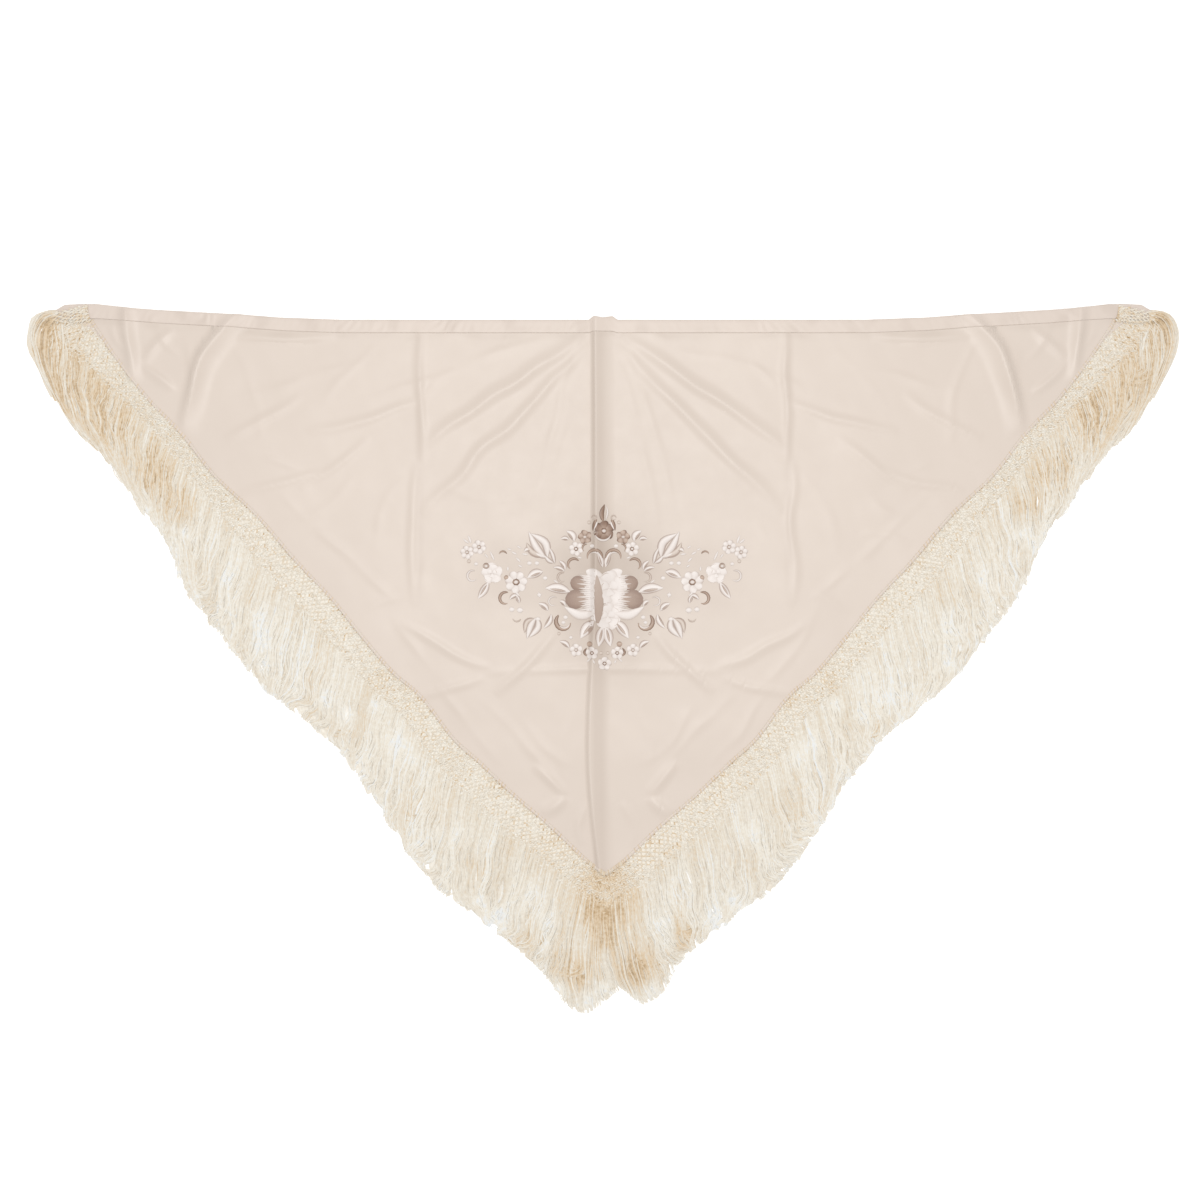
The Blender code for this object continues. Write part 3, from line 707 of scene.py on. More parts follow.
def silk_shade(x, y):
    """0 for silk with no painted shade, up to 1 where shade is painted in."""
    out = x - middle_x(y)
    # Round the roses, and along the sprays beside them: painted shade of the puckered cloth, and
    # partly the threads of the back showing through the silk
    halo = np.exp(-((np.abs(out) / 62) ** 3.0 + (np.abs(y - 93) / 98) ** 3.0)) * 0.70
    arms = np.exp(-(((np.abs(out) - 105) / 75) ** 4.0 + ((y - 112) / 46) ** 4.0)) * 0.28
    # Painted shade under the hem, where it puckers most
    hem_shadow = 0.18 * np.exp(-((hem_top(out) - 21 - y) / 5) ** 2)
    hem_shadow *= np.clip(0.5 + 0.5 * pucker_strength(x, y), 0, 1)
    # Painted shade along the old storage folds, and along the middle crease
    storage = np.exp(-((np.abs(out) - 247) / 5) ** 2) * np.clip((y - 60) / 60, 0, 1) * 0.16
    crease = np.exp(-((out + 13) / 3.0) ** 2) * 0.10 + np.exp(-((out + 5) / 8) ** 2) * 0.24
    # Darker and warmer towards the bottom, and painted shade that evens out the lamp's brightest
    # patch in the middle of the upper half
    low_down = 0.05 * np.clip((120 - y) / 250, 0, 1)
    low_down += 0.12 * np.exp(-(out / 240) ** 2 - ((y - 260) / 150) ** 2)
    return np.clip(halo + arms + hem_shadow + storage + low_down + crease * (y < 440), 0, 1)


panel_points, panel_faces = lay_panel()
silk_panel = make_piece("silk_cloth", panel_points, [panel_faces], silk,
                        values=[("shade", silk_shade(panel_points[:, 0], panel_points[:, 1]))])
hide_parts("silk_panel")

# %% [markdown]
# ## The hem along the top
#
# The long edge is turned under twice and slip-stitched, so it is a soft flat tube of four
# layers. A ring of points goes round it at each step along the edge: a rounded fold above, a
# full middle, and a lower edge that is pulled down at each stitch. Silk cut near the bias
# puckers slantwise when it is sewn, which the small waves show.

# %% Hem
HEM_STEP = 2.4
HEM_END = 746.0
STITCH_PITCH = 7.0
STITCH_PULL = 0.35
HEM_PUCKER_PITCH = 12.5
HEM_PUCKER = 0.34
# across the hem from its fold to its stitched edge, and the height there
HEM_ROUND = ((-0.03, 1.15), (0.0, 1.75), (0.10, 2.05), (0.30, 2.0), (0.52, 1.95), (0.72, 2.0),
             (0.88, 1.98), (0.97, 1.95), (1.0, 1.7))
HEM_UNDER = ((0.98, 1.45), (0.84, 1.40), (0.76, 0.45), (0.04, 0.45))


def make_hem():
    outs = np.arange(-HEM_END, HEM_END + 0.5, HEM_STEP)
    pulled = STITCH_PULL * np.maximum(0, np.cos(2 * math.pi * outs / STITCH_PITCH)) ** 6
    points = []
    for number, (across, height) in enumerate(HEM_ROUND + HEM_UNDER):
        y = hem_top(outs) - hem_width(outs) * across
        x = middle_x(y) + outs
        z = height + cloth_height(x, y)
        if number < len(HEM_ROUND):
            slant = (x + BIAS_SLANT * y * np.sign(x)) * 2 * math.pi / HEM_PUCKER_PITCH
            wave = HEM_PUCKER * np.sin(slant + 1.8 * crumple_small(x, y))
            strength = 0.35 + 0.65 * np.clip(pucker_strength(x, y), 0, 1.4)
            z += wave * strength * math.sin(math.pi * min(max(across, 0.08), 0.92))
            z -= pulled * (across > 0.9)
        points.append(np.stack([x, y, z], axis=1))
    rings = np.stack(points, axis=1)
    count, size, _ = rings.shape
    base = (np.arange(count - 1) * size)[:, None]
    corner = np.arange(size)[None, :]
    following = (corner + 1) % size
    quads = np.stack([base + corner, base + corner + size, base + following + size,
                      base + following], axis=2).reshape(-1, 4)[:, ::-1]
    ends = np.array([np.arange(size), np.arange(size)[::-1] + (count - 1) * size])
    points = rings.reshape(-1, 3)
    # Patches of painted shade along the hem, drawn from the puckers' strength noise
    shade = np.clip(0.10 * pucker_strength(points[:, 0] * 1.7, points[:, 1]), 0, 0.2)
    return make_piece("hem_cloth", points, [quads, ends], hem_silk,
                      values=[("shade", shade)])


hem_cloth = make_hem()
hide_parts("top_hem_left", "top_hem_middle", "top_hem_right")

# %% [markdown]
# ## Thread materials
#
# Shade in the net and fringe is painted into the threads' colour. It goes from amber, painted
# warm shade where the threads lie deep, to ivory where they lie on top, as light that has passed
# through many strands turns warm. Each strand and knot has a number, tone, that holds its own
# random tone and this painted shade. Two grains of noise, one of single threads and one of small
# tufts, roughen it, and the material turns it into a colour.

# %% Thread materials
# In the net and fringe, AMBER and OCHRE are painted warm shade deep among the threads; the
# whipping's thread runs from AMBER to IVORY by its own random tone
AMBER = (0.42, 0.27, 0.12)
OCHRE = (0.72, 0.58, 0.41)
IVORY = (0.735, 0.67, 0.57)
PALE_IVORY = (0.83, 0.79, 0.71)
# COOL_WHITE tops the ramp: the lightest strands reach it, and near the open places it is the
# painted grey of the shaded table between parted strands
COOL_WHITE = (0.80, 0.81, 0.81)
IVORY_STEPS = ((0.0, AMBER), (0.3, OCHRE), (0.58, IVORY), (0.85, PALE_IVORY), (1.0, COOL_WHITE))
EDGE_STEPS = ((0.0, AMBER), (0.5, OCHRE), (1.0, IVORY))
# cycles a metre, and how much they change the tone
FINE_GRAIN = (900, 0.16)
TUFT_GRAIN = (260, 0.5)
TWIST_DEPTH = 0.06


def make_thread(name, steps, gloss, sheen, grains, pitch=0.0):
    """steps are pairs of a tone from 0 to 1 and its colour. pitch is that of stitched threads."""
    material, tree, shader = shader_of(name, {"Roughness": gloss, "Specular IOR Level": 0.45,
                                              "Sheen Weight": sheen, "Sheen Roughness": 0.35})
    tone = mesh_value(tree, "tone")
    for scale, strength in grains:
        inputs = {0: drift_noise(tree, scale, 2.0), 1: strength, 2: tone}
        tone = add_node(tree, "Math", inputs, operation="MULTIPLY_ADD").outputs["Value"]
    ramp = add_node(tree, "ValToRGB", {"Fac": tone})
    stops = ramp.color_ramp.elements
    while len(stops) < len(steps):
        stops.new(0.5)
    for stop, (place, colour) in zip(stops, steps):
        stop.position = place
        stop.color = (*colour, 1)
    feed(tree, shader, {"Base Color": ramp.outputs["Color"]})
    if pitch:
        threads = add_node(tree, "UVMap", {}, uv_map="threads").outputs["UV"]
        add_bump(tree, shader, ridges(tree, "X", pitch, 0.5, threads), 0.35, TWIST_DEPTH)
    return material


net_thread = make_thread("ivory_net_cord", IVORY_STEPS, 0.5, 0.2, (FINE_GRAIN, TUFT_GRAIN))
fringe_thread = make_thread("ivory_fringe_silk", IVORY_STEPS, 0.4, 0.3, (FINE_GRAIN, TUFT_GRAIN))
edge_thread = make_thread("ochre_edge_cord", EDGE_STEPS, 0.5, 0.2, (FINE_GRAIN,))
print("thread materials:", net_thread.name, fringe_thread.name)

# %% [markdown]
# ## Places along the slanted edges
#
# The roll, the net and the fringe all follow one slanted edge. share runs along it from the
# corner to the tip, and across runs from the seam out to the net's outer edge. At the amber
# places, warm shade is painted into the threads that lie deepest, and in the open places the
# strands have parted.

# %% Places along the slanted edges
NET_COLUMNS = 186

# Places where warm shade is painted on the threads that lie deepest
# out, y, size and strength
WARM_SHADE_PLACES = (
    (746, 452, 13, 1.0), (742, 420, 26, 0.5), (705, 440, 26, 0.35), (712, 370, 44, 0.5),
    (655, 320, 44, 0.45), (600, 255, 34, 0.45), (568, 205, 24, 0.4), (300, -28, 14, 0.4),
    (247, -53, 14, 0.4), (420, 135, 14, 0.3), (150, -160, 14, 0.35), (60, -240, 34, 0.35),
    (8, -290, 22, 0.6), (5, -340, 15, 0.8), (3, -372, 14, 0.4), (100, -372, 20, 0.4),
    (40, -418, 18, 0.45), (330, -70, 30, 0.15), (480, 90, 26, 0.15), (20, -330, 34, 0.45),
    (34, -405, 44, 0.3),
    (240, -190, 26, 0.15), (190, -270, 26, 0.15),
)
# out, y and size
OPEN_PLACES = (
    (459, 60, 9), (459, 40, 10), (459, 18, 10), (458, -4, 10), (275, -112, 13), (255, -130, 10),
    (371, -52, 13), (345, -74, 12), (144, -338, 12), (98, -318, 13), (78, -352, 14),
    (84, -376, 11), (4, -440, 8), (24, -455, 10), (560, 170, 9), (505, 110, 9), (310, -60, 9),
    (198, -235, 9), (150, -355, 12), (170, -322, 9), (62, -440, 10),
)
# At the corner the net is drawn up over the hem's end: seam out, y and root out, y
NET_CORNER = np.array((
    (690, 476, 741, 466), (690, 470, 744, 450), (688, 461, 741, 424), (683, 449, 725, 408),
    (673, 434, 708, 400),
), float)
PASS_OVER = 2.5
CORNER_OUTS = (660, 751)


def edge_lines(side):
    rows = edge_rows(side)
    y = NET_CORNER[:, (1, 3)]
    corner = np.stack([middle_x(y) + side * NET_CORNER[:, (0, 2)], y], axis=2)
    for row in (0, 1):
        rows[row][:len(corner)] = corner[:, row]
    return rows, even_spots((rows[1] + rows[3]) / 2, 200)


EDGE_LINES = {side: edge_lines(side) for side in (-1, 1)}


def edge_place(side, share, which):
    """A place on the seam (0), the net's outer edge (1), the fringe's middle (2) or tips (3)."""
    rows, spots = EDGE_LINES[side]
    spot = np.interp(np.clip(share, 0, 1), np.linspace(0, 1, len(spots)), spots)
    return smooth_line(rows[which], spot)


def painted_warm_shade(x, y):
    """How much warm shade is painted on the threads at a place, from 0 to 1."""
    out = np.abs(x - middle_x(y))
    total = np.zeros(np.shape(x))
    for place_out, place_y, size, strength in WARM_SHADE_PLACES:
        total += strength * np.exp(-((out - place_out) ** 2 + (y - place_y) ** 2) / size ** 2)
    return np.clip(total, 0, 1)


def over_hem(x, y, height):
    """Lifts the threads near the corner over the hem's end."""
    out = np.abs(x - middle_x(y))
    fold = hem_top(out)
    above = (out > CORNER_OUTS[0]) & (out < CORNER_OUTS[1])
    above &= (y < fold + 3) & (y > fold - hem_width(out) - 4)
    lifted = height.copy()
    bed = cloth_height(x[above], y[above]) + PASS_OVER
    lifted[above] = np.maximum(height[above], bed + 0.5 * height[above])
    return lifted


print("length of an edge in mm:",
      round(float(np.linalg.norm(np.diff(edge_place(1, np.linspace(0, 1, 300), 0),
                                         axis=0), axis=1).sum())))

# %% [markdown]
# ## The rolled edge and its whipping
#
# Before the net was tied on, the slanted edges were rolled into a narrow cord of silk and
# whipped with thread. The roll is a soft tube on the seam, and each whipping is a short tube
# bent over it, with flat sides that catch the light one by one.

# %% Rolled edge and whipping
ROLL_WIDTH = 4.0
ROLL_HEIGHT = 1.3
ROLL_INSET = 1.2
ROLL_STEPS = 420
WHIPS = 205
WHIP_THICK = 1.3
WHIP_INSIDE = 3.7
WHIP_REACH = 5.4
WHIP_LEAN = 2.0
WHIP_RISE = 1.25


def seam_frame(side, share):
    """Places on the seam, with the ways along it and out from the cloth."""
    ahead = edge_place(side, np.clip(share + 0.002, 0, 1), 0)
    behind = edge_place(side, np.clip(share - 0.002, 0, 1), 0)
    along = ahead - behind
    along /= np.linalg.norm(along, axis=-1, keepdims=True) + 1e-9
    outward = np.stack([along[..., 1], -along[..., 0]], axis=-1) * -side
    return edge_place(side, share, 0), along, outward


def make_roll(side, word):
    share = np.linspace(0.04, 0.998, ROLL_STEPS)
    place, _, outward = seam_frame(side, share)
    centre = place - outward * ROLL_INSET
    height = cloth_height(centre[:, 0], centre[:, 1])
    rise = 1.25 + height + 0.12 * np.sin(share * 2 * math.pi * WHIPS)
    line = np.column_stack([centre, rise])[None]
    width = ROLL_WIDTH + 0.3 * np.sin(share * 37)[None]
    points, faces = tubes(line, width, np.full((1, ROLL_STEPS), ROLL_HEIGHT), sides=8)
    return make_piece("rolled_edge_" + word, points, faces, hem_silk,
                      values=[("shade", np.zeros(len(points)))])


def make_whipping(side, word):
    draw = np.random.default_rng(31 + side)
    share = (np.arange(WHIPS) + 0.5) / WHIPS * 0.956 + 0.041
    place, along, outward = seam_frame(side, share)
    arc = np.linspace(0, 1, 7)
    reach = (WHIP_REACH * arc - WHIP_INSIDE)[None, :, None] * outward[:, None, :]
    lean = ((arc - 0.5) * WHIP_LEAN)[None, :, None] * along[:, None, :]
    plan = place[:, None, :] + reach + lean
    height = cloth_height(place[:, 0], place[:, 1])[:, None]
    rise = 0.9 + height + WHIP_RISE * np.sin(math.pi * (0.08 + 0.84 * arc))[None, :] ** 0.6
    lines = np.concatenate([plan, rise[..., None]], axis=2)
    thick = np.full(lines.shape[:2], WHIP_THICK)
    points, faces = tubes(lines, thick, thick * 0.8, sides=4)
    tone = np.repeat(draw.uniform(0.35, 1.0, WHIPS), lines.shape[1] * 4)
    return make_piece("whipping_" + word, points, faces, edge_thread, False,
                      [("tone", tone)])


SIDES = ((-1, "left"), (1, "right"))
for side, word in SIDES:
    make_roll(side, word)
    make_whipping(side, word)

# %% [markdown]
# ## The knotted net
#
# The net is rows of knots, each row half a step along from the last, joined by doubled cords.
# From above, the pale knots read as short dashes over warm gaps. A knot is simplified to a
# small oval bead that lies about level in the picture, as the threads of a net hung from a
# slanted edge do. The cords below it run to its two neighbours in the next row.

# %% Knotted net
KNOT_ROWS = 11
KNOT_LENGTH = 5.2
KNOT_WIDTH = 2.6
KNOT_HEIGHT = 1.3
CORD_WIDTH = 2.3
CORD_FLAT = 0.36
CORD_TURNS = (0.0, 0.5, 1.0)
PLACE_LOOSE = 0.9
TURN_LOOSE = 0.5
KNOT_BED = 1.25


def oval_bead(sides, rings):
    """A unit bead: points and faces with a point at each end of X."""
    points = [(-1.0, 0.0, 0.0)]
    for ring in range(1, rings):
        angle = math.pi * ring / rings
        for corner in range(sides):
            turn = 2 * math.pi * corner / sides
            points.append((-math.cos(angle), math.sin(angle) * math.cos(turn),
                           math.sin(angle) * math.sin(turn)))
    points.append((1.0, 0.0, 0.0))
    triangles = []
    quads = []
    last = len(points) - 1
    for corner in range(sides):
        following = (corner + 1) % sides
        triangles.append((0, 1 + following, 1 + corner))
        start = 1 + (rings - 2) * sides
        triangles.append((last, start + corner, start + following))
        for ring in range(rings - 2):
            low = 1 + ring * sides
            quads.append((low + corner, low + following, low + following + sides,
                          low + corner + sides))
    return np.array(points), np.array(triangles), np.array(quads)


def net_place(side, column, row):
    """A place on the net. column and row may be fractions, and each row slants a little."""
    across = (row + 0.5) / KNOT_ROWS
    share = (column + 0.5) / NET_COLUMNS
    inner = edge_place(side, share, 0)
    outer = edge_place(side, share, 1)
    return inner + (outer - inner) * across[..., None]


def lay_knots(side, draw, columns, rows):
    """Points, triangles, quads and tones of all knots of a side."""
    plan = net_place(side, columns, rows) + draw.normal(0, PLACE_LOOSE, (len(rows), 2))
    height = KNOT_BED + draw.uniform(0, 0.25, len(rows))
    height = over_hem(plan[:, 0], plan[:, 1], height)
    bead, triangles, quads = oval_bead(6, 4)
    turn = (draw.normal(0, TURN_LOOSE, len(rows)) - side * 0.12)[:, None]
    size = draw.uniform(0.6, 1.2, len(rows))
    long_x = bead[None, :, 0] * KNOT_LENGTH / 2 * size[:, None]
    wide_y = bead[None, :, 1] * KNOT_WIDTH / 2
    x = plan[:, None, 0] + long_x * np.cos(turn) - wide_y * np.sin(turn)
    y = plan[:, None, 1] + long_x * np.sin(turn) + wide_y * np.cos(turn)
    z = height[:, None] + bead[None, :, 2] * KNOT_HEIGHT / 2
    points = np.stack([x, y, z], axis=2).reshape(-1, 3)
    shift = (np.arange(len(rows)) * len(bead))[:, None, None]
    faces = [(triangles[None] + shift).reshape(-1, 3), (quads[None] + shift).reshape(-1, 4)]
    # Painted warm shade darkens the knots where the threads lie deep
    tone = draw.uniform(0.17, 0.49, len(rows)) - 0.45 * painted_warm_shade(plan[:, 0], plan[:, 1])
    return points, faces, np.repeat(tone, len(bead))


def lay_cords(side, draw, columns, rows):
    """Points, faces and tones of the cords between knots, and from the seam to the first row."""
    first = rows == 0
    starts = []
    ends = []
    for way in (-0.5, 0.5):
        starts.append(np.stack([columns, rows], axis=1))
        ends.append(np.stack([columns + way, rows + 1], axis=1))
    for pull in (-0.1, 0.1):
        starts.append(np.stack([columns[first] + pull, rows[first] - 0.5], axis=1))
        ends.append(np.stack([columns[first] + pull, rows[first]], axis=1))
    starts = np.concatenate(starts)
    ends = np.concatenate(ends)
    inside = (ends[:, 0] > -0.6) & (ends[:, 0] < NET_COLUMNS) & (ends[:, 1] < KNOT_ROWS)
    starts = starts[inside]
    ends = ends[inside]
    share = np.array(CORD_TURNS)
    line = starts[:, None, :] + (ends - starts)[:, None, :] * share[None, :, None]
    plan = net_place(side, line[..., 0], line[..., 1])
    sag = np.array([1.15, 1.0, 1.15])[None, :] + draw.uniform(0, 0.2, len(line))[:, None]
    sag = over_hem(plan[..., 0], plan[..., 1], sag)
    lines = np.concatenate([plan, sag[..., None]], axis=2)
    thick = np.full(lines.shape[:2], CORD_WIDTH)
    points, faces = tubes(lines, thick, thick * CORD_FLAT)
    # Some cords are darker at random. Painted warm shade darkens the cords where the threads lie
    # deep, and painted shade darkens the cords from the seam to the first row, in the gap by the
    # rolled edge
    tone = draw.uniform(0.13, 0.41, len(lines)) - 0.25 * (draw.random(len(lines)) < 0.14)
    tone = tone - 0.35 * painted_warm_shade(plan[:, 1, 0], plan[:, 1, 1])
    tone = tone - 0.25 * (line[:, 1, 1] < 0)
    return points, faces, np.repeat(tone, 3 * len(share))


def make_net(side, word):
    draw = np.random.default_rng(57 + side)
    columns, rows = np.meshgrid(np.arange(NET_COLUMNS), np.arange(KNOT_ROWS), indexing="ij")
    columns = columns + 0.5 * (rows % 2)
    keep = columns < NET_COLUMNS - 0.6
    columns = columns[keep].astype(float)
    rows = rows[keep].astype(float)
    knots, knot_faces, knot_tone = lay_knots(side, draw, columns, rows)
    cords, cord_faces, cord_tone = lay_cords(side, draw, columns, rows)
    faces = knot_faces + [group + len(knots) for group in cord_faces]
    rounded = np.repeat([True, True, False, False], [len(group) for group in faces])
    net = make_piece("net_knots_" + word, np.concatenate([knots, cords]), faces, net_thread,
                     rounded, [("tone", np.concatenate([knot_tone, cord_tone]))])
    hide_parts("net_" + word)
    return net


nets = [make_net(side, word) for side, word in SIDES]

# %% [markdown]
# ## The long fringe
#
# Each knot of the net's last row carries a tassel of loose silk. Its strands leave the knot
# together, spread, gather again into locks, and keep the waves of their packing. A strand is a
# three-sided tube along a bent line through its root, middle and tip. All strands are worked
# out as one array: first the bend, then the pull into locks, the waves, and the places where
# they have parted. Flat bundles lie below them, from the seam to just short of the tips, so
# that the fringe is as close as a real one without many more strands. Hooks of longer silk lie
# at the ends of some locks.

# %% Long fringe
STRANDS_A_KNOT = 12
STRAND_STEPS = 14
STRAND_WIDTH = 1.8
STRAND_FLAT = 0.42
STRAND_LOW = 1.05
LOCKS_A_SIDE = 118
# lowest and highest, drawn for each lock or each strand
LOCK_LENGTHS = (0.98, 1.01)
STRAND_LENGTHS = (0.97, 1.0)
LOCK_GATHERS = (0.0, 0.50)
LOCK_SHIFTS = (-0.3, 0.3)
LOCK_WAVES = (0.8, 1.25)
LOCK_SWAYS = (1.0, 3.6)
STRAND_SWAYS = (0.75, 1.25)
STRAND_AMBERS = (0.1, 1.4)
STRAY_ARCS = (4, 11)
STRAY_SHARE = 0.09
WAVE_LENGTH = 56.0
SWEEP = 0.014
FRINGE_TONE = 0.31
TONE_LIMITS = (-0.15, 0.62)
# How much, and with what tone, the strands near the open places are painted the grey of the shaded
# table
TABLE_SHADE_SHARE = 0.6
TABLE_SHADE_TONE = 0.75
PARTED = 0.16
BUNDLES_A_KNOT = 2
BUNDLE_WIDTH = 6.4
BUNDLE_THICK = 0.5
BUNDLE_LIFT = 0.6
BUNDLE_SHORT = 0.06
BUNDLE_GATHERED = 0.15
NET_BED = 0.75
NET_BED_TONE = 0.33


def eased(value, low, high):
    """Goes softly from 0 at low to 1 at high."""
    part = np.clip((value - low) / (high - low), 0, 1)
    return part * part * (3 - 2 * part)


def fringe_lines(side, seed, strands_a_knot, gathered=1.0):
    """Lines of all strands of a side and their tones. gathered says how far they form locks."""
    draw = np.random.default_rng(seed)
    knot = np.arange(NET_COLUMNS).repeat(strands_a_knot)[:, None]
    count = len(knot)
    spread = draw.uniform(-0.5, 0.5, (count, 1))
    if gathered < 1:
        spread = (np.arange(count)[:, None] % strands_a_knot + 0.5) / strands_a_knot - 0.5
    home = (knot + 0.5 + spread) / NET_COLUMNS
    lock = np.clip((home * LOCKS_A_SIDE).astype(int), 0, LOCKS_A_SIDE - 1)[:, 0]

    def by_strand(low, high):
        return draw.uniform(low, high, (count, 1))

    def by_lock(low, high):
        return draw.uniform(low, high, LOCKS_A_SIDE)[lock][:, None]

    def lock_noise(strength):
        return draw.normal(0, strength, LOCKS_A_SIDE)[lock][:, None]

    # How far each point is down the fringe, and its share along the edge
    length = by_lock(*LOCK_LENGTHS) * by_strand(*STRAND_LENGTHS)
    length = length - BUNDLE_SHORT * (gathered < 1)
    reach = np.linspace(0, 1, STRAND_STEPS) * length
    lock_middle = (lock[:, None] + 0.5 + by_lock(*LOCK_SHIFTS)) / LOCKS_A_SIDE
    gather = gathered * by_lock(*LOCK_GATHERS) * eased(reach, 0.08, 0.45)
    gather = gather * (1 - 0.45 * eased(reach, 0.6, 1.0))
    share = home + (lock_middle - home) * gather
    root_share = (knot + 0.5 + spread * 0.8) / NET_COLUMNS
    share = share + (root_share - home) * (1 - eased(reach, 0.0, 0.22))
    sweep = SWEEP * waves_of(seed + 6, 0.11, 8)(home, home * 0) + lock_noise(0.007)
    sweep = sweep * np.clip(np.minimum(home, 1 - home) * 10, 0, 1)
    share = np.clip(share + sweep * eased(reach, 0.55, 1.0), 0.001, 1.0)

    # The bend through root, middle and tip
    root = edge_place(side, share, 1) * 0.78 + edge_place(side, share, 0) * 0.22
    tip = edge_place(side, share, 3)
    back = (1 - reach)[..., None]
    ahead = reach[..., None]
    bend = edge_place(side, share, 2) * 2 - (root + tip) * 0.5
    plan = root * back * back + bend * 2 * ahead * back + tip * ahead * ahead
    run = np.gradient(plan, axis=1)
    distance = np.linalg.norm(run, axis=2, keepdims=True) + 1e-9
    run = run / distance
    across = np.stack([-run[..., 1], run[..., 0]], axis=2)

    # Waves, strands that stray from their lock, and the quieter ends of the edge
    phase = 2.6 * waves_of(seed + 5, 0.16, 8)(home, home * 0) + lock_noise(0.35)
    turns = distance.sum(axis=1) / (WAVE_LENGTH * by_lock(*LOCK_WAVES))
    strength = by_lock(*LOCK_SWAYS) * by_strand(*STRAND_SWAYS)
    sway = strength * np.sin(2 * math.pi * turns * reach + phase) * eased(reach, 0.02, 0.3)
    loose = 0.9 * draw.normal(0, 1.0, (count, 1)) * eased(reach, 0.1, 0.9)
    ripple = np.sin(2 * math.pi * reach * by_strand(2, 4) + by_strand(0, 6.3))
    stray = (draw.random((count, 1)) < STRAY_SHARE) * draw.choice([-1, 1], (count, 1))
    arc = stray * by_strand(*STRAY_ARCS) * np.sin(math.pi * reach ** 0.8)
    calm = np.clip(np.minimum(home, 1 - home) * 14, 0.4, 1)
    plan = plan + across * ((sway + loose + ripple + arc) * calm)[..., None]

    # Places where the strands have parted; near them the strands are painted the grey of the
    # shaded table seen between them
    table_shade = np.zeros(plan.shape[:2])
    for place_out, place_y, size in OPEN_PLACES:
        gap = plan - np.array([float(middle_x(place_y)) + side * place_out, place_y])
        away = np.linalg.norm(gap, axis=2, keepdims=True) + 1e-6
        near = np.exp(-(away / size) ** 2)
        table_shade = table_shade + near[..., 0]
        side_way = np.sign((gap * across).sum(axis=2, keepdims=True)) * across
        plan = plan + side_way * gathered * size * PARTED * near * eased(ahead, 0.03, 0.2)

    # Heights of the layers, and the tones: painted shade darkens the lower strands, the roots are
    # a little darker, and painted warm shade is added where the threads lie deep
    layer = by_strand(0, 1)
    rise = (1.0 * layer + 0.5 * by_lock(0, 1)) * (0.5 + 0.5 * np.sin(math.pi * reach))
    rise = over_hem(plan[..., 0], plan[..., 1], STRAND_LOW + rise)
    tone = FRINGE_TONE + 0.12 * layer + draw.normal(0, 0.09, (count, 1)) + lock_noise(0.05)
    tone = tone - 0.06 * (1 - eased(reach, 0.0, 0.2)) + 0.04 * np.sin(6.3 * reach + phase)
    amber = by_strand(*STRAND_AMBERS) * painted_warm_shade(plan[..., 0], plan[..., 1])
    tone = tone - amber + 0.10 * eased(reach, 0.8, 1.0)
    table_shade = TABLE_SHADE_SHARE * np.clip(table_shade, 0, 1)
    tone = np.clip(tone, *TONE_LIMITS) * (1 - table_shade) + TABLE_SHADE_TONE * table_shade
    return np.concatenate([plan, rise[..., None]], axis=2), tone


# Hooks of longer silk at the ends: x, y, radius, strands, way it turns and amber share
CURLS = (
    (-42, -408, 11, 40, -1, 0.30), (62, -396, 11, 36, 1, 0.30), (-100, -368, 12, 30, -1, 0.24),
    (112, -356, 11, 26, 1, 0.24), (-252, -205, 8, 14, 1, 0.2), (255, -205, 8, 14, -1, 0.2),
    (-352, -92, 8, 12, 1, 0.2), (357, -92, 8, 12, -1, 0.2),
    (-712, 392, 16, 22, 1, 0.2), (716, 392, 16, 22, -1, 0.2),
)


def curl_lines(seed):
    """Strands that come down, turn round a hook and end, with their tones."""
    draw = np.random.default_rng(seed)
    level = np.linspace(0, 1, STRAND_STEPS)
    lines = []
    tones = []
    for x, y, radius, strands, way, amber in CURLS:
        for number in range(strands):
            out = radius * (0.25 + 1.5 * number / strands) + draw.normal(0, 1.0)
            drop = draw.uniform(30, 65)
            lean = draw.normal(0, 3.0)
            route = [(x - way * (out + 3) + lean, y + drop), (x - way * (out - 1), y + drop * 0.5),
                     (x - way * out, y)]
            for angle in (220, 262, 300, 335):
                bend = math.radians(angle + 2 * lean)
                route.append((x + way * math.cos(bend) * out * (1.1 + 0.1 * lean),
                              y + math.sin(bend) * out * 0.8))
            route = np.array(route)
            plan = smooth_line(route, even_spots(route, STRAND_STEPS - 1, 8))
            rise = 1.3 + draw.uniform(0, 0.9) - 0.4 * np.abs(2 * level - 1) ** 3
            lines.append(np.column_stack([plan, rise]))
            tones.append(FRINGE_TONE + draw.normal(0, 0.10) - amber * eased(level, 0.3, 0.7))
    return np.array(lines), np.array(tones)


def make_bundles(side, word):
    """Flat bundles below the loose strands, from the seam to just short of their tips."""
    lines, tone = fringe_lines(side, 60 + side, BUNDLES_A_KNOT, BUNDLE_GATHERED)
    count = len(lines)
    lines[..., 2] = BUNDLE_LIFT + 0.12 * (np.arange(count) % 3)[:, None]
    seam = edge_place(side, (np.arange(count) + 0.5) / count, 0)[:, None, :]
    ahead = np.array([0.03, 0.35, 0.7])[None, :, None]
    under_net = seam + (lines[:, :1, :2] - seam) * ahead
    under_net = np.concatenate([under_net, np.full((count, 3, 1), NET_BED)], axis=2)
    lines = np.concatenate([under_net, lines], axis=1)
    tone = np.concatenate([np.full((count, 3), NET_BED_TONE), tone], axis=1)
    wide = np.full(lines.shape[:2], BUNDLE_WIDTH)
    points, faces = tubes(lines, wide, np.full(wide.shape, BUNDLE_THICK), sides=4)
    return make_piece("under_fringe_" + word, points, faces, fringe_thread, False,
                      values=[("tone", np.repeat(tone.ravel(), 4))])


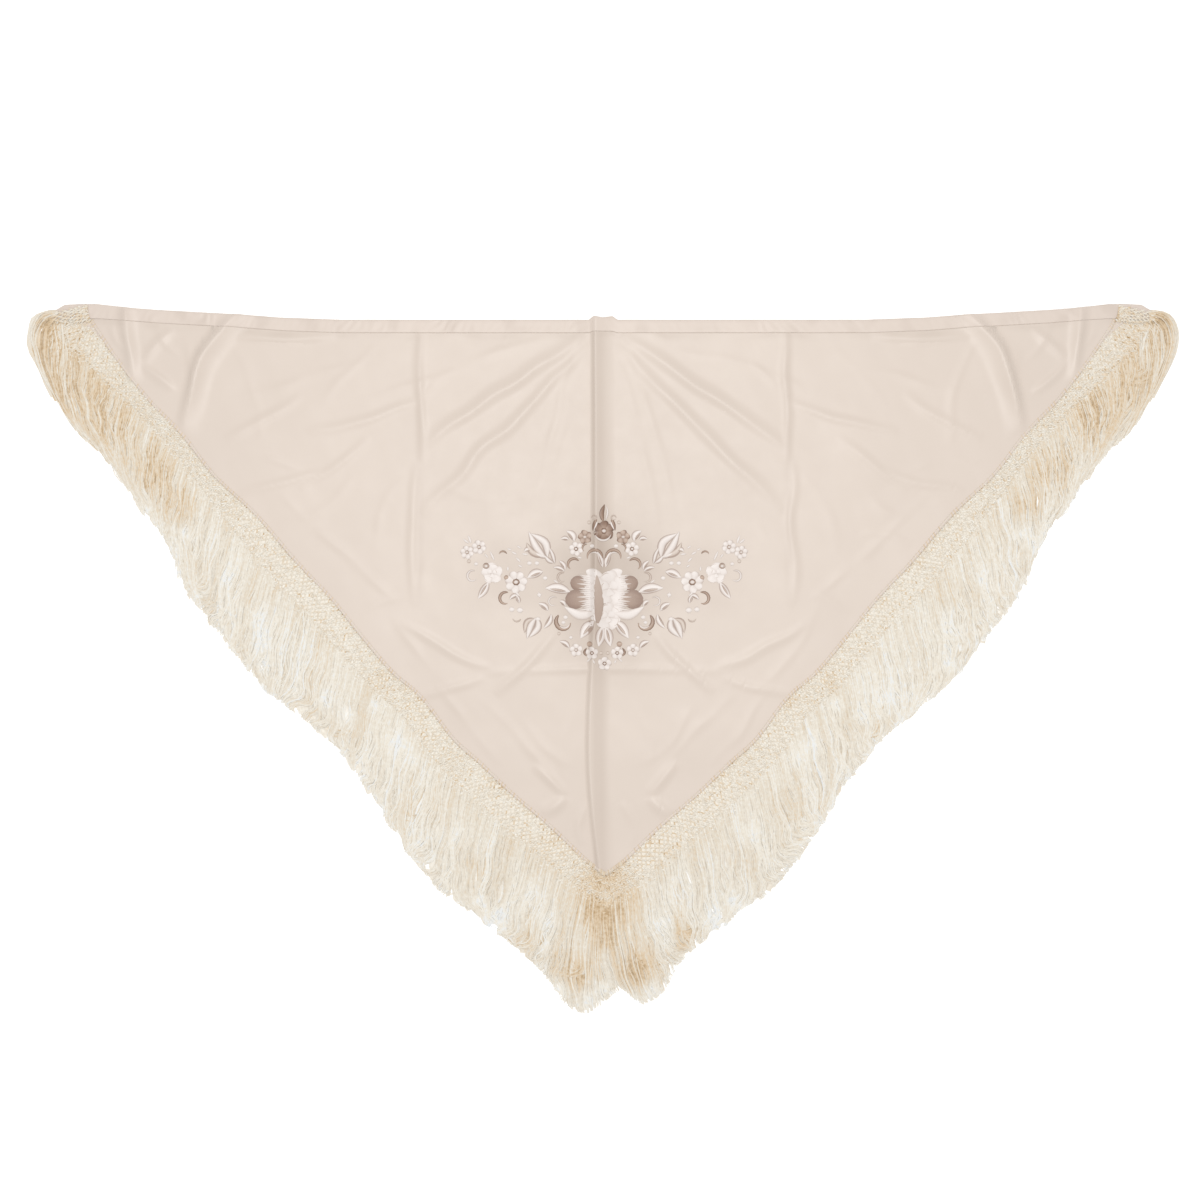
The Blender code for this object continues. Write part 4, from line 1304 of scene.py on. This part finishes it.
def make_fringe(side, word):
    lines, tone = fringe_lines(side, 80 + side, STRANDS_A_KNOT)
    hooks, hook_tone = curl_lines(70)
    own = hooks[:, 0, 0] * side > 0
    lines = np.concatenate([lines, hooks[own]])
    tone = np.concatenate([tone, hook_tone[own]])
    level = np.linspace(0, 1, STRAND_STEPS)[None, :]
    draw = np.random.default_rng(90 + side)
    thick = STRAND_WIDTH * draw.uniform(0.75, 1.25, (len(lines), 1))
    thick = thick * (1 - 0.45 * eased(level, 0.75, 1.0)) * (0.8 + 0.2 * eased(level, 0, 0.1))
    points, faces = tubes(lines, thick, thick * STRAND_FLAT)
    points[:, 2] = np.maximum(points[:, 2], 0.15)
    fringe = make_piece("fringe_strands_" + word, points, faces, fringe_thread, False,
                        values=[("tone", np.repeat(tone.ravel(), 3))])
    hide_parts("fringe_" + word)
    return fringe


for side, word in SIDES:
    make_bundles(side, word)
    make_fringe(side, word)

# %% [markdown]
# ## Embroidery
#
# The flowers are worked in satin stitch: threads laid side by side across a shape until it
# stands up from the cloth. Every petal, leaf and scroll is one such shape, so they all come
# from a single blade: a bent middle line, a width that swells and tapers, and a low crown.
# Flowers are rings of blades, scrolls are bent ones and dots are short ones. All blades are
# gathered by colour of silk, laid on the cloth's height in one go, and joined into one mesh
# for each silk. The threads themselves are ridges in the material, across each blade.

# %% The blade
BLADE_STEPS = 11
BLADE_ACROSS = 5
EDGE_LIFT = 0.10
UNDER_LIFT = -0.3
ROSE_LIFT = 0.22
OUTLINE = 2.2
HEART_SHARE = 0.34

blades = {"white": [], "beige": [], "brown": []}


def add_blade(silk_name, line, width, crown=0.8, tones=(0.6, 0.95), swell=(0.85, 0.75),
              lift=0.0, sides=(-1, 1)):
    """One satin-stitched shape along line, in (out, y). It is added to both halves."""
    blades[silk_name].append((line, width, crown, tones, swell, lift, sides))


def add_middle_blade(*shape):
    """One shape on the middle line, in (x from the middle, y)."""
    add_blade(*shape, sides=(1,))


def turned(centre, angle, distance):
    return (centre[0] + math.cos(angle) * distance, centre[1] + math.sin(angle) * distance)


def add_dot(silk_name, centre, radius, crown=0.7, add=add_blade, tones=(1.0, 1.15), lift=0.0):
    line = ((centre[0] - radius, centre[1]), (centre[0] + radius, centre[1]))
    add(silk_name, line, 2 * radius, crown, tones, (1.0, 0.5), lift)


def add_scroll(silk_name, centre, radius, start, sweep, width, add=add_blade,
               tones=(0.6, 1.0), crown=0.7):
    """A bent blade. start and sweep are in degrees, counted from the outward way."""
    line = []
    for step in range(7):
        angle = math.radians(start + sweep * step / 6)
        line.append(turned(centre, angle, radius * (1 - 0.22 * step / 6)))
    add(silk_name, tuple(line), width, crown, tones, (0.8, 0.55), 0.0)


def add_flower(centre, radius, petals, petal_silk, heart_silk, add=add_blade, start=18.0,
               tones=(0.6, 1.0)):
    """A ring of petals round a raised heart with a pale knot in it."""
    width = 2 * math.pi * radius * 0.72 / petals * 1.35
    for number in range(petals):
        angle = math.radians(start + 360 * number / petals)
        line = (turned(centre, angle, radius * 0.12), turned(centre, angle, radius * 0.6),
                turned(centre, angle + 0.16, radius))
        add(petal_silk, line, width, 0.55, tones, (1.5, 0.42), 0.06 * (number % 2))
    heart = radius * HEART_SHARE
    add_dot(heart_silk, centre, heart, 0.7, add, (0.45, 0.75), 0.3)
    add_dot("white", centre, heart * 0.55, 0.4, add, (0.6, 0.8), 0.8)


def add_leaf(line, width):
    """A white leaf with a darker rib along its middle and a thin dark outline below it, partly
    outline thread and partly painted shadow round the raised leaf.
    """
    add_blade("beige", line, width + OUTLINE, 0.05, (0.2, 0.4), (0.9, 0.75), -0.05)
    add_blade("white", line, width, 0.5, (0.8, 1.05), (0.9, 0.75), 0.0)
    start = np.array(line[0])
    way = np.array(line[-1]) - start
    rib = (tuple(start + way * 0.16), tuple(start + way * 0.80))
    add_blade("beige", rib, width * 0.30, 0.3, (0.3, 0.7), (1.0, 0.7), 0.45)


print("silks:", list(blades))

# %% [markdown]
# ## The roses, on and beside the middle line
#
# Two roses sit on the middle crease, the larger one above, and a small one stands on each side.
# A rose is two rings of petals, the inner one smaller and laid over the outer one, and a thin
# beige rim parts each petal from the next. Flat white shapes fill the bed below the two on the
# crease, and brown petals with white streaks open to their sides.

# %% Roses
def add_rose(centre, radius, rings, add):
    """Rings of petals, each laid over the last, with a thin rim at each petal's end."""
    for level, (petals, inner, outer, wide) in enumerate(rings):
        lift = ROSE_LIFT + 0.14 * level
        far = radius * outer
        for number in range(petals):
            angle = math.radians(90 + 360 * (number + 0.5 * (level % 2)) / petals)
            bent = angle + 0.22 - 0.1 * level
            line = (turned(centre, angle, radius * inner),
                    turned(centre, angle + 0.05, radius * (inner + outer) * 0.5),
                    turned(centre, bent, far))
            add("white", line, radius * wide, 0.24, (0.72 + 0.06 * level, 1.0), (1.7, 0.5),
                lift + 0.03 * (number % 3))
            rim = (turned(centre, bent - 0.42, far * 0.86), turned(centre, bent, far * 0.93),
                   turned(centre, bent + 0.42, far * 0.86))
            add("beige", rim, radius * 0.055, 0.05, (0.5, 0.8), (1.0, 0.5), lift + 0.14)


# petals, inner share, outer share and width share of each ring
LARGE_RINGS = ((5, 0.10, 1.00, 1.15), (3, 0.0, 0.52, 0.70))
SMALL_RINGS = ((5, 0.10, 1.00, 1.10), (3, 0.0, 0.48, 0.60))
ROSE_BED = ((24, 120), (28, 111), (29, 100), (29, 89), (28, 78), (24, 67), (18, 56))
# White petals fan out from the crease, under flat shapes that carry the roses
for row, (out, y) in enumerate(ROSE_BED):
    start = 112 - 8.5 * row
    add_blade("white", ((1, start), (13, (start + y) / 2), (out, y)), 13, 0.25, (0.85, 1.0),
              (1.2, 0.5), 0.03 * (row % 2))
add_middle_blade("white", ((11, 76), (12, 97), (12, 119)), 31, 0.05, (1.0, 1.0), (1.0, 0.4), 0.12)
add_middle_blade("white", ((8, 43), (9, 58), (10, 78)), 26, 0.05, (1.0, 1.0), (1.0, 0.4), 0.1)
add_rose((7.0, 97.0), 22.0, LARGE_RINGS, add_middle_blade)
add_rose((5.0, 59.0), 17.0, LARGE_RINGS, add_middle_blade)
add_rose((150.0, 117.0), 13.5, SMALL_RINGS, add_blade)
add_dot("beige", (158.0, 126.5), 4.4, 1.6, tones=(0.4, 0.7))
add_dot("white", (158.0, 126.5), 2.4, 2.1)

# A beige petal that shows between the crease and the rose
add_middle_blade("beige", ((-9, 50), (-7, 80), (-10, 114)), 12, 0.08, (0.3, 0.6), (0.8, 0.6), 0.5)

# Brown petals that open to the sides of the large rose, with white streaks over them
add_blade("brown", ((22, 101), (33, 103), (45, 106)), 20, 0.16, (0.8, 0.42), (1.35, 0.5), 0.1)
add_blade("brown", ((21, 83), (36, 82), (52, 81)), 26, 0.16, (0.8, 0.40), (1.35, 0.5), 0.15)
for streak in range(17):
    low = 70 + 2.6 * streak
    far = 37 - 6 * (streak % 2) - 2 * (streak % 3)
    add_blade("white", ((18, low), (26, low + 0.2 * streak - 1.6), (far, low + 0.4 * streak - 3)),
              2.4, 0.12, (1.0, 0.3), (0.7, 0.7), 0.35)
add_blade("white", ((12, 64), (33, 61), (53, 72)), 12.5, 0.4, (0.75, 1.0), (0.85, 0.8), 0.3)
print("blades so far:", {name: len(rows) for name, rows in blades.items()})

# %% [markdown]
# ## Leaves, buds, scrolls and small flowers
#
# The sprays on both sides are the same, so each shape is listed once and worked on both
# halves. Places are in millimetres from the middle line and up from the shawl's own origin.

# %% Sprays
LEAVES = (
    (((2, 46), (5, 33), (8, 19)), 12), (((14, 53), (23, 44), (32, 30)), 13),
    (((46, 92), (62, 97), (79, 97)), 12), (((82, 119), (92, 117), (103, 111)), 10),
    (((155, 105), (161, 94), (169, 83)), 9), (((75, 67), (80, 73), (88, 77)), 6.5),
    (((71, 62), (73, 53), (81, 43)), 6), (((52, 73), (55, 78), (60, 80)), 5),
    (((40, 160), (42, 168), (50, 174)), 8), (((2, 125), (4, 135), (9, 146)), 6.5),
    (((47, 17), (52, 23), (60, 26)), 5.5), (((114, 77), (115, 82), (118, 88)), 4.5),
    (((116, 87), (121, 87), (127, 82)), 4.5), (((52, 122), (54, 128), (60, 134)), 5),
    (((53, 120), (60, 124), (68, 125)), 4.5), (((47, 162), (52, 164), (58, 163)), 4.5),
    (((97, 148), (103, 149), (107, 146)), 5),
)
# each petal of the buds: line, width and silk
BUD_PETALS = (
    (((76, 139), (79, 158), (98, 170)), 10, "white"),
    (((79, 138), (91, 152), (101, 173)), 9, "white"),
    (((82, 139), (97, 146), (104, 158)), 8, "beige"),
    (((76, 138), (86, 141), (98, 146)), 5, "white"),
    (((66, 130), (69, 142), (74, 152)), 4, "white"),
    (((68, 131), (74, 134), (80, 141)), 4.5, "white"),
    (((90, 57), (89, 44), (101, 31)), 8, "white"),
    (((92, 57), (99, 46), (104, 29)), 8, "white"),
    (((94, 56), (104, 51), (107, 37)), 6.5, "beige"),
)
# centre, radius, start, sweep, width and silk
SCROLLS = (
    ((13.5, 138), 11.5, 185, -195, 4.2, "brown"), ((14, 138), 8.0, 180, -120, 2.2, "white"),
    ((41, 128), 9.0, 140, -190, 3.8, "brown"), ((56, 111), 7.0, 110, -230, 3.0, "beige"),
    ((54, 52), 11.5, 50, -220, 6.0, "brown"), ((53, 51), 8.5, -30, -130, 3.4, "white"),
    ((68.5, 79), 6.8, 130, -250, 2.6, "white"), ((132, 83), 9.0, 110, -220, 4.2, "brown"),
    ((176, 113), 8.0, 110, -250, 3.2, "white"), ((136, 141), 6.0, 160, -140, 2.4, "brown"),
    ((118, 58), 6.5, 200, 140, 2.0, "beige"), ((13, 191), 3.6, 0, 330, 1.7, "beige"),
    ((24, 150), 6.0, 100, -150, 2.4, "brown"),
)
# centre, radius, petals, petal silk and heart silk
FLOWERS = (
    ((118, 105), 14.5, 7, "white", "brown"), ((25.5, 165.5), 8.5, 5, "brown", "beige"),
    ((37.5, 149.5), 9.0, 6, "white", "brown"), ((167.5, 152), 9.0, 6, "white", "beige"),
    ((183.5, 145), 8.5, 6, "white", "beige"), ((17, 10), 8.0, 5, "white", "brown"),
    ((38, 14), 8.0, 5, "white", "beige"),
)
DOTS = (
    ("white", 90, 130.5, 3.0), ("white", 100, 130.5, 3.0), ("white", 79, 110.5, 3.0),
    ("white", 16, 153.5, 2.8), ("beige", 20, 185, 2.4), ("brown", 20, 22, 3.6),
    ("white", 52, 58, 3.0), ("white", 55, 51, 2.6), ("white", 89, 55.5, 3.2),
    ("white", 171.5, 129.5, 2.6), ("beige", 181, 133, 2.6), ("white", 113, 67.5, 4.0),
    ("white", 124, 68.5, 3.6), ("brown", 131, 111, 3.2), ("white", 87, 88, 2.8),
    ("beige", 61, 36, 2.2), ("white", 45, 31, 2.4),
)
DASHES = (
    ((102, 142), (110, 143), 3.2), ((111, 150), (117, 154), 2.6), ((117, 142), (124, 146), 3.2),
    ((124, 148), (130, 150), 2.8), ((112, 132), (118, 138), 3.2), ((110, 125), (115, 128), 3.0),
    ((147, 134), (153, 147), 3.2), ((178, 157), (182, 168), 3.6), ((181, 157), (189, 163), 3.2),
    ((129, 120), (129, 126), 3.4), ((86, 84), (88, 92), 3.0), ((13, -4), (16, 1), 2.6),
    ((19, 3), (24, -2), 2.6), ((9, 186), (14, 175), 4.5), ((120, 93), (113, 86), 3.0),
    ((160, 143), (155, 137), 2.4), ((30, 137), (36, 139), 2.6), ((62, 104), (68, 108), 2.6),
)

for line, width in LEAVES:
    add_leaf(line, width)
# Each bud petal gets the same thin dark outline below it, partly outline thread and partly painted
# shadow
for line, width, silk_name in BUD_PETALS:
    add_blade("beige", line, width + OUTLINE, 0.05, (0.2, 0.4), (0.8, 0.8), 0.0)
    add_blade(silk_name, line, width, 0.55, (0.7, 1.05), (0.8, 0.8), 0.1)
for centre, radius, start, sweep, width, silk_name in SCROLLS:
    add_scroll(silk_name, centre, radius, start, sweep, width)
for centre, radius, petals, petal_silk, heart_silk in FLOWERS:
    add_flower(centre, radius, petals, petal_silk, heart_silk)
for silk_name, out, y, radius in DOTS:
    add_dot(silk_name, (out, y), radius)
for start, end, width in DASHES:
    add_blade("white", (start, end), width, 0.6, (0.95, 1.15))

# On the middle line: the top flower with its leaves, and the lowest flower
add_flower((0.0, 173.5), 13.0, 6, "brown", "brown", add_middle_blade, 30, (0.9, 0.25))
add_scroll("white", (0.0, 172.0), 12.5, 200, 140, 3.4, add_middle_blade, (0.7, 0.95), 1.3)
add_flower((0.0, -4.0), 8.5, 5, "white", "brown", add_middle_blade, 18)
add_middle_blade("brown", ((-1, 186), (-3, 197), (1, 209)), 6.5, 0.8, (0.7, 0.35))
add_middle_blade("white", ((2, 188), (5, 198), (3, 208)), 3.2, 0.8, (0.7, 0.95))
add_blade("brown", ((10, 190), (13, 182), (15, 174)), 5.0, 0.8, (0.8, 0.35))
add_dot("beige", (4.5, 10.0), 2.4)
add_blade("brown", ((24, 6), (27, 11), (24, 17)), 3.4, 0.8, (0.8, 0.3))
print("blades:", {name: len(rows) for name, rows in blades.items()})

# %% [markdown]
# ## Silk for the stitches, and laying them down
#
# Stitching silk shines more than the cloth, along the threads. The ridges of the threads come
# from each blade's own running length, so they cross it as satin stitches do. The rim of a
# blade is darker: painted shade where the raised stitches meet the cloth, and partly a darker
# outline of thread. The skirts below the rim have points of their own, so that the smooth top
# keeps its light up to the edge.

# %% Stitch materials and meshes
SILKS = {
    "white": ((0.0, (0.33, 0.24, 0.20)), (0.5, (0.60, 0.52, 0.47)), (1.0, (0.735, 0.67, 0.63))),
    "beige": ((0.0, (0.29, 0.20, 0.16)), (0.5, (0.44, 0.34, 0.28)), (1.0, (0.61, 0.52, 0.45))),
    "brown": ((0.0, (0.16, 0.095, 0.065)), (0.5, (0.25, 0.155, 0.11)), (1.0, (0.46, 0.34, 0.265))),
}
THREAD_PITCH = 0.55
THREAD_SLANT = 0.2
RIM_SHADE = 0.75


def blade_faces():
    """Points copied from a blade's grid, then its quads and its two ends."""
    grid = np.arange(BLADE_STEPS * BLADE_ACROSS).reshape(BLADE_STEPS, BLADE_ACROSS)
    copied = np.concatenate([grid.ravel(), grid[:, 0], grid[:, -1], grid[0], grid[-1]])
    left = grid.size + np.arange(BLADE_STEPS)
    right = left + BLADE_STEPS
    first = right[-1] + 1 + np.arange(BLADE_ACROSS)
    last = first + BLADE_ACROSS
    low = len(copied) + np.arange(BLADE_STEPS)
    faces = []
    for i in range(BLADE_STEPS - 1):
        for a in grid[i, :-1]:
            faces.append((a, a + BLADE_ACROSS, a + BLADE_ACROSS + 1, a + 1))
        faces.append((left[i], low[i], low[i + 1], left[i + 1]))
        faces.append((low[i], right[i], right[i + 1], low[i + 1]))
    ends = [np.append(first, low[0]), np.append(last[::-1], low[-1])]
    return copied, np.array(faces), np.array(ends)


def lay_blades(rows):
    """Points, faces, smooth faces, tones and thread places of many blades on the cloth."""
    plans, crowns, tones, threads, quads, fans = [], [], [], [], [], []
    copied, faces, ends = blade_faces()
    count = 0
    along = np.linspace(0, 1, BLADE_STEPS)
    across = np.linspace(-1, 1, BLADE_ACROSS)
    for line, width, crown, tone, swell, lift, sides in rows:
        route = np.asarray(line, float)
        path = smooth_line(route, even_spots(route, BLADE_STEPS - 1, 12))
        run = np.gradient(path, axis=0)
        step = np.linalg.norm(run, axis=1, keepdims=True) + 1e-9
        normal = np.stack([-run[:, 1], run[:, 0]], axis=1) / step
        length = step[:, 0].sum()
        power, fullness = swell
        half = width / 2 * np.sin(math.pi * np.clip(along, 0.012, 0.988) ** power) ** fullness
        out = half[:, None] * across
        plan = (path[:, None, :] + normal[:, None, :] * out[..., None]).reshape(-1, 2)
        dome = (np.clip(1 - (across * 0.985) ** 2, 0, 1) ** 0.7)[None, :]
        dome = dome * np.sin(math.pi * np.clip(along, 0.05, 0.95))[:, None] ** 0.35
        height = EDGE_LIFT + lift + crown * dome
        shade = tone[0] + (tone[1] - tone[0]) * along[:, None]
        # Painted shade at the rim, where the raised stitches meet the cloth, partly a darker
        # outline thread
        shade = shade - RIM_SHADE * min(1, crown / 0.5) * np.abs(across)[None, :] ** 4
        thread = np.stack([along[:, None] * length + THREAD_SLANT * np.abs(out), out], axis=2)
        for side in sides:
            spot = np.concatenate([plan[copied], path])
            spot[:, 0] = middle_x(spot[:, 1]) + side * spot[:, 0]
            plans.append(spot)
            crowns.append(np.append(height.ravel()[copied], np.full(BLADE_STEPS, UNDER_LIFT)))
            tones.append(np.append(shade.ravel()[copied], shade[:, 0]))
            threads.append(np.concatenate([thread.reshape(-1, 2)[copied], thread[:, 0]]))
            quads.append(faces[:, ::-side] + count)
            fans.append(ends[:, ::-side] + count)
            count += len(spot)
    plan = np.concatenate(plans)
    top = SHELL_BASE + SHELL_THICK + cloth_height(plan[:, 0], plan[:, 1])
    points = np.column_stack([plan, top + np.concatenate(crowns)])
    strip = [True] * (BLADE_ACROSS - 1) + [False] * 2
    rounded = np.tile(strip, (BLADE_STEPS - 1) * len(quads))
    rounded = np.append(rounded, np.zeros(2 * len(fans), bool))
    return (points, [np.concatenate(quads), np.concatenate(fans)], rounded,
            np.concatenate(tones), np.concatenate(threads))


def nodes_of_slot(slot_name):
    rows = frame["record"]["subparts"]
    return [row["node"] for row in rows if row["material_slot"] == slot_name]


for silk_name, colours in SILKS.items():
    thread_silk = make_thread("stitching_silk_" + silk_name, colours, 0.36, 0.2, (FINE_GRAIN,),
                              THREAD_PITCH)
    points, faces, rounded, tone, threads = lay_blades(blades[silk_name])
    piece = make_piece("stitches_" + silk_name, points, faces, thread_silk,
                       rounded, [("tone", tone)], threads)
    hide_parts(*nodes_of_slot("stitch_" + silk_name))

# %% [markdown]
# ## The imported and the finished boxes
#
# The panel is half of a square of silk, cut from corner to corner. The last lines keep the
# imported box and the finished piece's box side by side, so that they can be compared.

low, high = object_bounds()
boxes = {"cad": [list(cad_low), list(cad_high)], "visual": [list(low), list(high)]}
for word, corners in boxes.items():
    print(word, [[round(value / MM, 1) for value in corner] for corner in corners])
